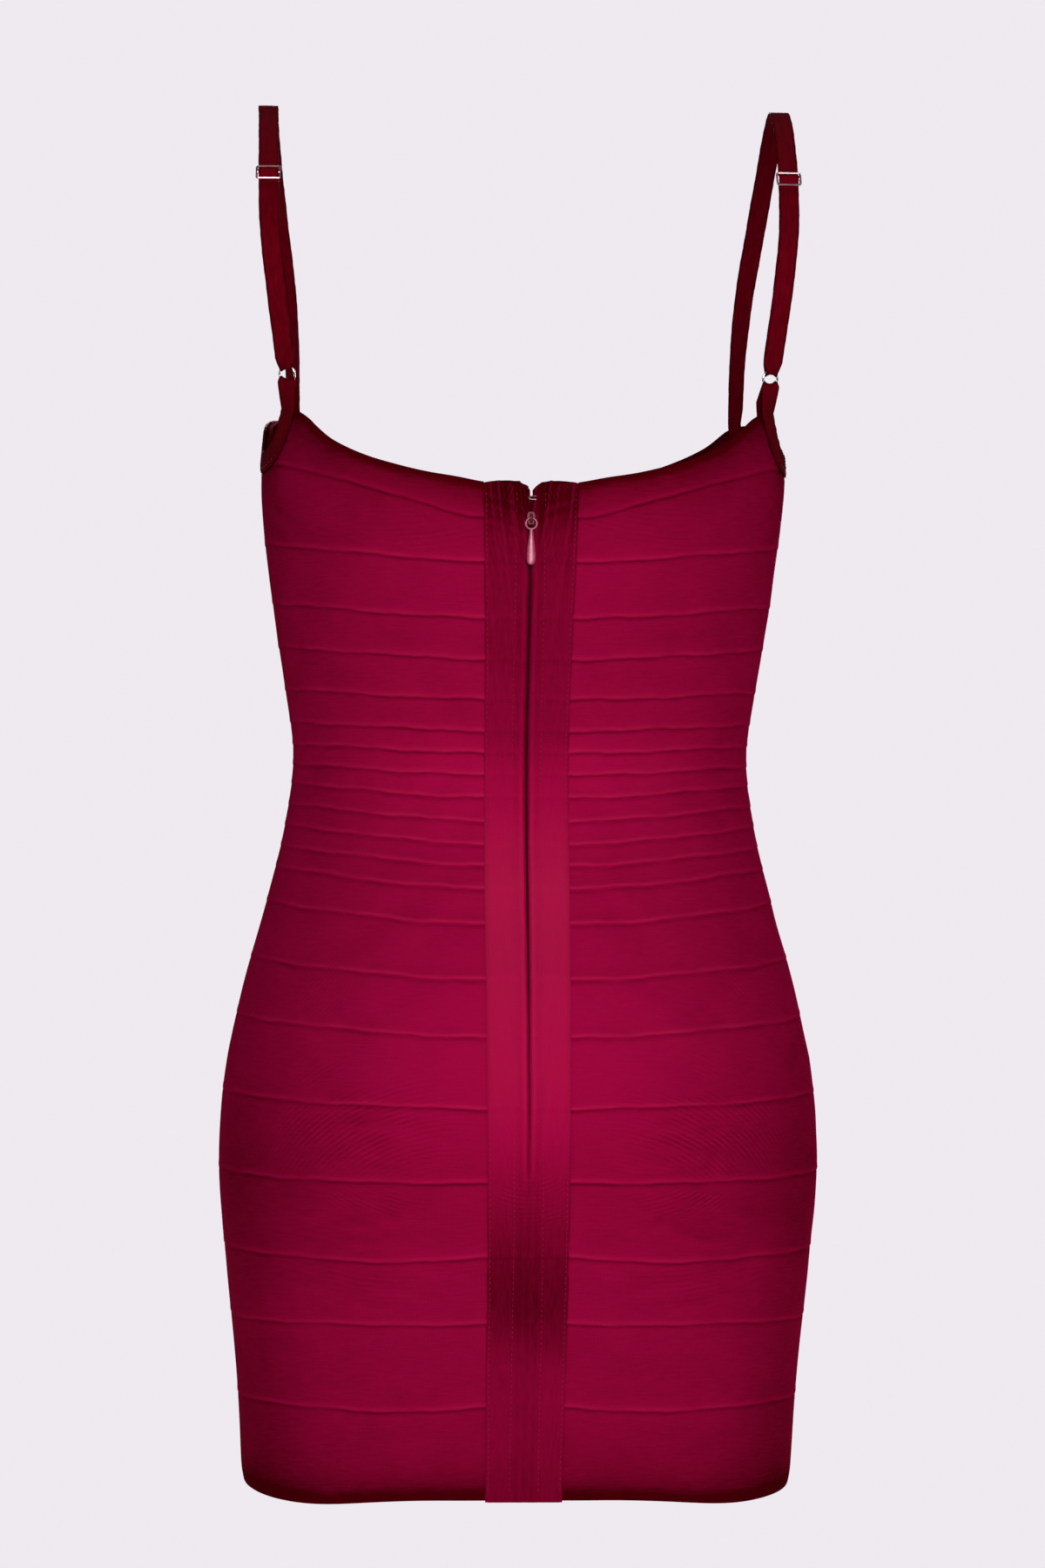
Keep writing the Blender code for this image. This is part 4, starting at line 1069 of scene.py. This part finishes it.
def addTorus(radius, wire, around, section, place=(0, 0, 0), turned=(0, 0, 0)):
    bpy.ops.object.select_all(action="DESELECT")
    bpy.ops.mesh.primitive_torus_add(
        major_radius=radius * mm, minor_radius=wire * mm, major_segments=around, minor_segments=section,
        location=place, rotation=turned)
    return bpy.context.object


def join(piece, other):
    selectOnly(piece)
    other.select_set(True)
    bpy.ops.object.join()


def giveMaterial(piece, material):
    piece.data.materials.clear()
    piece.data.materials.append(material)


def finishPiece(name, material, body, slotName, node, smoothAngle=50):
    piece = bpy.context.object
    piece.name = piece.data.name = name
    bpy.ops.object.transform_apply(location=True, rotation=True, scale=True)
    with editing():
        bpy.ops.mesh.remove_doubles(threshold=0.002 * mm)
        bpy.ops.mesh.normals_make_consistent(inside=False)
    bpy.ops.object.shade_smooth_by_angle(angle=math.radians(smoothAngle))
    giveMaterial(piece, material)
    belongTo(piece, body, slotName, node)


def selectPoints(test):
    # in edit mode: selects the vertices whose place passes the test
    piece = bpy.context.object
    bpy.ops.mesh.select_all(action="DESELECT")
    bpy.ops.object.mode_set(mode="OBJECT")
    for vertex in piece.data.vertices:
        vertex.select = test(vertex.co)
    bpy.ops.object.mode_set(mode="EDIT")
    bpy.ops.mesh.select_mode(type="VERT")


def makeRing(word, side, middle, down, across):
    look = strapLook
    flip = Matrix.Diagonal((side, 1, 1))
    middle, down, across = flip @ middle, flip @ down, flip @ across
    axis = across.cross(down).normalized()
    turned = Matrix((across.normalized(), axis.cross(across).normalized(), axis)).transposed()
    addTorus(look["ringRadius"], look["ringWire"], 64, 14, middle * mm, turned.to_euler())
    with editing():
        selectPoints(lambda co: co.y > 0 and abs(co.x) < 0.35 * mm)  # the soldered joint, a little thicker
        bpy.ops.transform.resize(value=(1, 1.012, 1.16), center_override=middle * mm)
    finishPiece(f"strapRing.{word}", steel, "dress", "steel", f"strap_ring_{word}")


strapSets = [makeStrap(word, side) for word, side in sides]
print("elastics and rings made")


Girth = namedtuple("Girth", "down halfWidth halfThick")
pullLook = {
    "ringRadius": 2.95,
    "ringWire": 0.68,
    "drop": rowsOf(Girth, (
        (5.6, 0.55, 0.50), (6.6, 0.95, 0.62), (9, 1.15, 0.62), (13, 1.70, 0.64), (17, 2.15, 0.66),
        (21, 2.32, 0.66), (23.6, 2.05, 0.60), (24.7, 1.45, 0.50), (25.2, 0.40, 0.20))),
    "levels": 30,
}
hinge = Vector(next(joint for joint in frame["joints"] if joint["name"] == "zip_pull_hinge")["pos_m"])


def makePull():
    # a ring and a flat, blunt drop that hang from the slider's bridge
    look = pullLook
    low = hinge - Vector((0, 0, look["ringRadius"] * mm))
    ring = addTorus(look["ringRadius"], look["ringWire"], 40, 12, low, (math.pi / 2, 0, 0))
    rows = look["drop"]
    halfWidthOf, halfThickOf = column(rows, "halfWidth", "down"), column(rows, "halfThick", "down")
    centre, half = (rows[0].down + rows[-1].down) / 2, (rows[-1].down - rows[0].down) / 2
    middle = hinge - Vector((0, 0, centre * mm))
    bpy.ops.object.select_all(action="DESELECT")
    bpy.ops.mesh.primitive_uv_sphere_add(segments=32, ring_count=look["levels"], radius=mm, location=middle)
    drop = bpy.context.object
    with editing():
        for k in range(1, look["levels"]):  # each level of the ball goes to its own girth
            turn = math.pi * k / look["levels"]
            height, girth = math.cos(turn), math.sin(turn)
            down = centre - height * half
            selectPoints(lambda co: abs(co.z - height * mm) < 0.004 * mm)
            bpy.ops.transform.resize(
                value=(halfWidthOf(down) / girth, halfThickOf(down) / girth, 1), center_override=middle)
        bpy.ops.mesh.select_all(action="SELECT")
        bpy.ops.transform.resize(value=(1, 1, half), center_override=middle)
    join(drop, ring)
    finishPiece("zipPull", paint, "pull", "painted_metal", "zip_pull")


sliderLook = {
    "halfHeight": 3.6,
    "halfWidth": 2.4,
    "thick": 1.1,
    "back": -2.3,  # from the hinge in to the back of the plate
    "tailShare": 0.72,  # it narrows below its shoulders
    "crownShare": 0.62,
    "rib": 0.22,
    "bridgeRadius": 1.7,
    "bridgeWire": 0.52,
    "bridgeFoot": -1.35,
    "bridgeShape": (1.5, 1, 1.12),  # a flat strap, not a round wire
}


def makeZipSlider():
    look = sliderLook
    tall = look["halfHeight"] * mm
    centre = hinge + Vector((0, (look["back"] + look["thick"] / 2) * mm, 0))
    bpy.ops.object.select_all(action="DESELECT")
    bpy.ops.mesh.primitive_cube_add(size=1, location=centre)
    plate = bpy.context.object
    with editing():
        size = (2 * look["halfWidth"] * mm, look["thick"] * mm, 2 * tall)
        bpy.ops.transform.resize(value=size, center_override=centre)
        bpy.ops.mesh.subdivide(number_cuts=3)
        selectPoints(lambda co: co.z < -tall * 0.4)
        bpy.ops.transform.resize(value=(look["tailShare"], 1, 1), center_override=centre)
        selectPoints(lambda co: co.z > tall * 0.9)
        bpy.ops.transform.resize(value=(look["crownShare"], 1, 1), center_override=centre)
        selectPoints(lambda co: abs(co.x) < 0.2 * mm and co.y > 0)  # a rib down the middle
        bpy.ops.transform.translate(value=(0, look["rib"] * mm, 0))
    soft = plate.modifiers.new("soft", "SUBSURF")
    soft.levels = soft.render_levels = 2
    applyModifiers(plate)
    bridge = addTorus(look["bridgeRadius"], look["bridgeWire"], 36, 10, hinge, (0, math.pi / 2, 0))
    bpy.ops.object.transform_apply(location=False, rotation=True, scale=True)
    foot = hinge + Vector((0, look["bridgeFoot"] * mm, 0))
    with editing():
        bpy.ops.mesh.bisect(plane_co=foot, plane_no=(0, 1, 0), clear_inner=True, use_fill=True)
        bpy.ops.mesh.select_all(action="SELECT")
        bpy.ops.transform.resize(value=look["bridgeShape"], center_override=hinge)
    join(bridge, plate)
    finishPiece("zipSlider", sliderPaint, "dress", "painted_metal", "zip_slider", 45)


def copiesOf(name, source, places, material, slotName):
    # joined copies of a small mesh; each place is (middle, along, out), and the mesh lies along +X
    base = np.array([v.co for v in source.data.vertices])
    faces = [list(p.vertices) for p in source.data.polygons]
    points, joined = [], []
    for k, (middle, along, out) in enumerate(places):
        along = unit(along)
        side = unit(np.cross(out, along))
        turn = np.array([along, side, np.cross(along, side)])
        points.append(base @ turn + middle * mm)
        joined += [[v + k * len(base) for v in face] for face in faces]
    mesh = bpy.data.meshes.new(name)
    mesh.from_pydata(np.concatenate(points).tolist(), [], joined)
    bpy.data.objects.remove(source)
    belongTo(addObject(name, mesh, material), "dress", slotName)


stitchLook = {"length": 2.0, "thick": 0.36, "pitch": 3.0, "sunk": 0.02, "zigzag": 0.0095, "lean": 0.7}


def oneStitch():
    # a stitch of thread: a stretched ball whose ends dip into the cloth
    look = stitchLook
    bpy.ops.object.select_all(action="DESELECT")
    bpy.ops.mesh.primitive_uv_sphere_add(
        segments=8, ring_count=6, radius=look["thick"] / 2 * mm, rotation=(0, math.pi / 2, 0))
    bpy.ops.object.transform_apply(location=False, rotation=True, scale=True)
    with editing():
        bpy.ops.transform.resize(value=(look["length"] / look["thick"], 1, 1))
        for sign in (-1, 1):
            selectPoints(lambda co: co.x * sign > look["length"] * 0.3 * mm)
            bpy.ops.transform.translate(value=(0, 0, -look["thick"] * 0.55 * mm))
    return bpy.context.object


def lineOfStitches(asideAt, levels, side, out):
    found = []
    draw = random.Random(61)
    for level in levels:
        spots = level + draw.uniform(-0.2, 0.2) + np.array([0.5, -0.5])
        rounds = asideAt(spots) / quarterLength(spots)
        ends = placeAt(rounds, spots, np.full(2, out), side)
        found.append((ends.mean(0), ends[0] - ends[1], outwardAt(rounds, spots)[0] * (side, 1, 1)))
    return found


def makeTopstitching():
    look, plackets = stitchLook, placketLook
    levels = np.arange(dressForm["topEdge"][0].top - 6, dressForm["hem"] + 5, -look["pitch"])
    out = dressForm["placketRise"] - 0.20 + look["sunk"]
    places = []
    for _, side in sides:
        places += lineOfStitches(lambda z: z * 0 + plackets["stitchFromZip"], levels, side, out)
        places += lineOfStitches(lambda z: placketAt(z) - plackets["stitchFromEdge"], levels, side, out)
    copiesOf("placketTopstitch", oneStitch(), places, thread, "placket_knit")


def makeArmholeStitching():
    # zigzag along the lower edge of each armhole's elastic
    form, look, stitch = dressForm, elasticLook, stitchLook
    rounds = np.arange(form["backCorner"][1] + 0.05, form["frontCorner"][1] - 0.01, stitch["zigzag"])
    places = []
    for _, side in sides:
        for k, r in enumerate(rounds):
            step = unit(edgePoint(r + 0.004) - edgePoint(r - 0.004))
            below = np.array([step[1], -step[0]])
            spot = edgePoint(r) + below * (look["armholeWidth"] - 2.6)
            lean = step + below * (stitch["lean"] if k % 2 else -stitch["lean"])
            ends = np.array([spot - lean, spot + lean])
            outs = np.full(2, look["out"] + look["thick"] + stitch["sunk"])
            points = placeAt(ends[:, 0] / roundLength, ends[:, 1], outs, side)
            facing = outwardAt(spot[0] / roundLength, spot[1]) * (side, 1, 1)
            places.append((points.mean(0), points[1] - points[0], facing))
    copiesOf("elasticZigzag", oneStitch(), places, thread, "satin_elastic")


coilLook = {
    "radius": 0.72, "wire": 0.24, "flat": 0.6, "pitch": 1.25, "out": -0.55, "above": 11.0, "lean": 0.35}


def makeZipCoil():
    # the closed coil in the slit: a loop of nylon at each pitch, leaning by turns
    look = coilLook
    loop = addTorus(look["radius"], look["wire"], 12, 6, turned=(0, math.pi / 2, 0))
    bpy.ops.object.transform_apply(location=False, rotation=True, scale=True)
    with editing():
        bpy.ops.transform.resize(value=(1, 1, look["flat"]))
    places = []
    for k, level in enumerate(np.arange(hinge.z / mm + look["above"], placketLook["zipEnd"], -look["pitch"])):
        lean = look["lean"] if k % 2 else -look["lean"]
        places.append((placeAt(0.0, level, look["out"]), np.array([lean, 0.0, -1.0]), outwardAt(0.0, level)))
    copiesOf("zipCoil", loop, places, coil, "zip_tape")


makePull()
makeZipSlider()
makeTopstitching()
makeArmholeStitching()
makeZipCoil()
for name, material in (("zip_tape", tape), ("hook_eye", hookMetal),
                       ("strap_slider_left", roseMetal), ("strap_slider_right", roseMetal)):
    giveMaterial(frame["nodes"][name], material)
print("zip and stitching made")


# ---- floor, light and camera

Light = namedtuple("Light", "name place target size power colour")
studio = {
    "floorZ": -1.30,
    "floorRadius": 2.85,
    "eye": (0.1507, 2.6958, -0.3744),
    "turn": 3.2,  # degrees that the camera stands round towards the wearer's left
    "roll": 0.35,
    "aside": 3.0,  # the dress's axis falls this many pixels left of the frame's middle
    "focalPixels": 5567,
    "frameHeight": 1800,
    "sensor": 36.0,
    "spread": 130,  # the lights are aimed at the dress, so that the floor stays even
    "lights": rowsOf(Light, (
        ("key", (-0.10, 3.3, 0.2), (0, 0, -0.42), (1.1, 1.1), 50.5, (1.0, 0.985, 0.98)),
        ("left side", (2.9, 0.1, 0.1), (0, 0, -0.4), (1.2, 1.4), 6.2, (0.98, 0.96, 1.0)),
        ("right side", (-2.9, 0.1, 0.1), (0, 0, -0.4), (1.2, 1.4), 6.2, (1.0, 0.97, 0.98)),
        ("front", (-0.3, -3.2, 0.3), (0, 0, -0.42), (1.2, 1.1), 42, (1.0, 0.985, 0.98)),
        ("overhead", (0, 0, 3.2), (0, 0, -1.3), (3.0, 3.0), 16, (1.0, 0.985, 0.98)))),
    "seen": (0.86, 0.82, 0.87, 1),
    "lit": (0.90, 0.88, 0.92, 1),
    "litStrength": 0.08,
}


def addLamp(row):
    light = bpy.data.lights.new(row.name, "AREA")
    light.shape = "RECTANGLE"
    light.size, light.size_y = row.size
    light.energy = row.power
    light.spread = math.radians(studio["spread"])
    light.color = row.colour
    lamp = bpy.data.objects.new(row.name, light)
    lamp.location = row.place
    lamp.rotation_euler = (Vector(row.target) - Vector(row.place)).to_track_quat("-Z", "Y").to_euler()
    scene.collection.objects.link(lamp)


def makeStudio():
    look = studio
    bpy.ops.object.select_all(action="DESELECT")
    bpy.ops.mesh.primitive_circle_add(
        vertices=96, radius=look["floorRadius"], fill_type="NGON", location=(0, 0, look["floorZ"]))
    floor = bpy.context.object
    floor.name = "floor"
    finish = Finish("pale floor", Roughness=0.9, Specular_IOR_Level=0.0)
    speck = finish.noise(finish.place(), 2.5, 2.0)
    colour = finish.mix(speck, (0.80, 0.775, 0.81), (0.84, 0.815, 0.85))
    floor.data.materials.append(finish.give(Base_Color=colour))

    scene.world = bpy.data.worlds.new("studio")
    scene.world.use_nodes = True
    tree = scene.world.node_tree
    tree.nodes.clear()
    lit, seen, path, both, ending = (tree.nodes.new("ShaderNode" + kind) for kind in (
        "Background", "Background", "LightPath", "MixShader", "OutputWorld"))
    seen.inputs["Color"].default_value = look["seen"]
    lit.inputs["Color"].default_value = look["lit"]
    lit.inputs["Strength"].default_value = look["litStrength"]
    for begin, end in (
            (path.outputs["Is Camera Ray"], both.inputs["Fac"]), (lit.outputs[0], both.inputs[1]),
            (seen.outputs[0], both.inputs[2]), (both.outputs[0], ending.inputs["Surface"])):
        tree.links.new(begin, end)
    for row in look["lights"]:
        addLamp(row)

    camera = bpy.data.cameras.new("camera")
    camera.sensor_fit = "VERTICAL"
    camera.sensor_height = look["sensor"]
    camera.lens = look["focalPixels"] / look["frameHeight"] * look["sensor"]
    camera.clip_start = 0.05
    eye = bpy.data.objects.new("camera", camera)
    eye.location = look["eye"]
    swing = math.pi - math.radians(look["turn"]) - math.atan2(look["aside"], look["focalPixels"])
    facing = Matrix.Rotation(swing, 3, "Z") @ Matrix.Rotation(math.pi / 2, 3, "X")
    eye.rotation_euler = (facing @ Matrix.Rotation(math.radians(look["roll"]), 3, "Z")).to_euler()
    scene.collection.objects.link(eye)
    scene.camera = eye
    scene.view_settings.view_transform = "Standard"


makeStudio()
print("studio made")
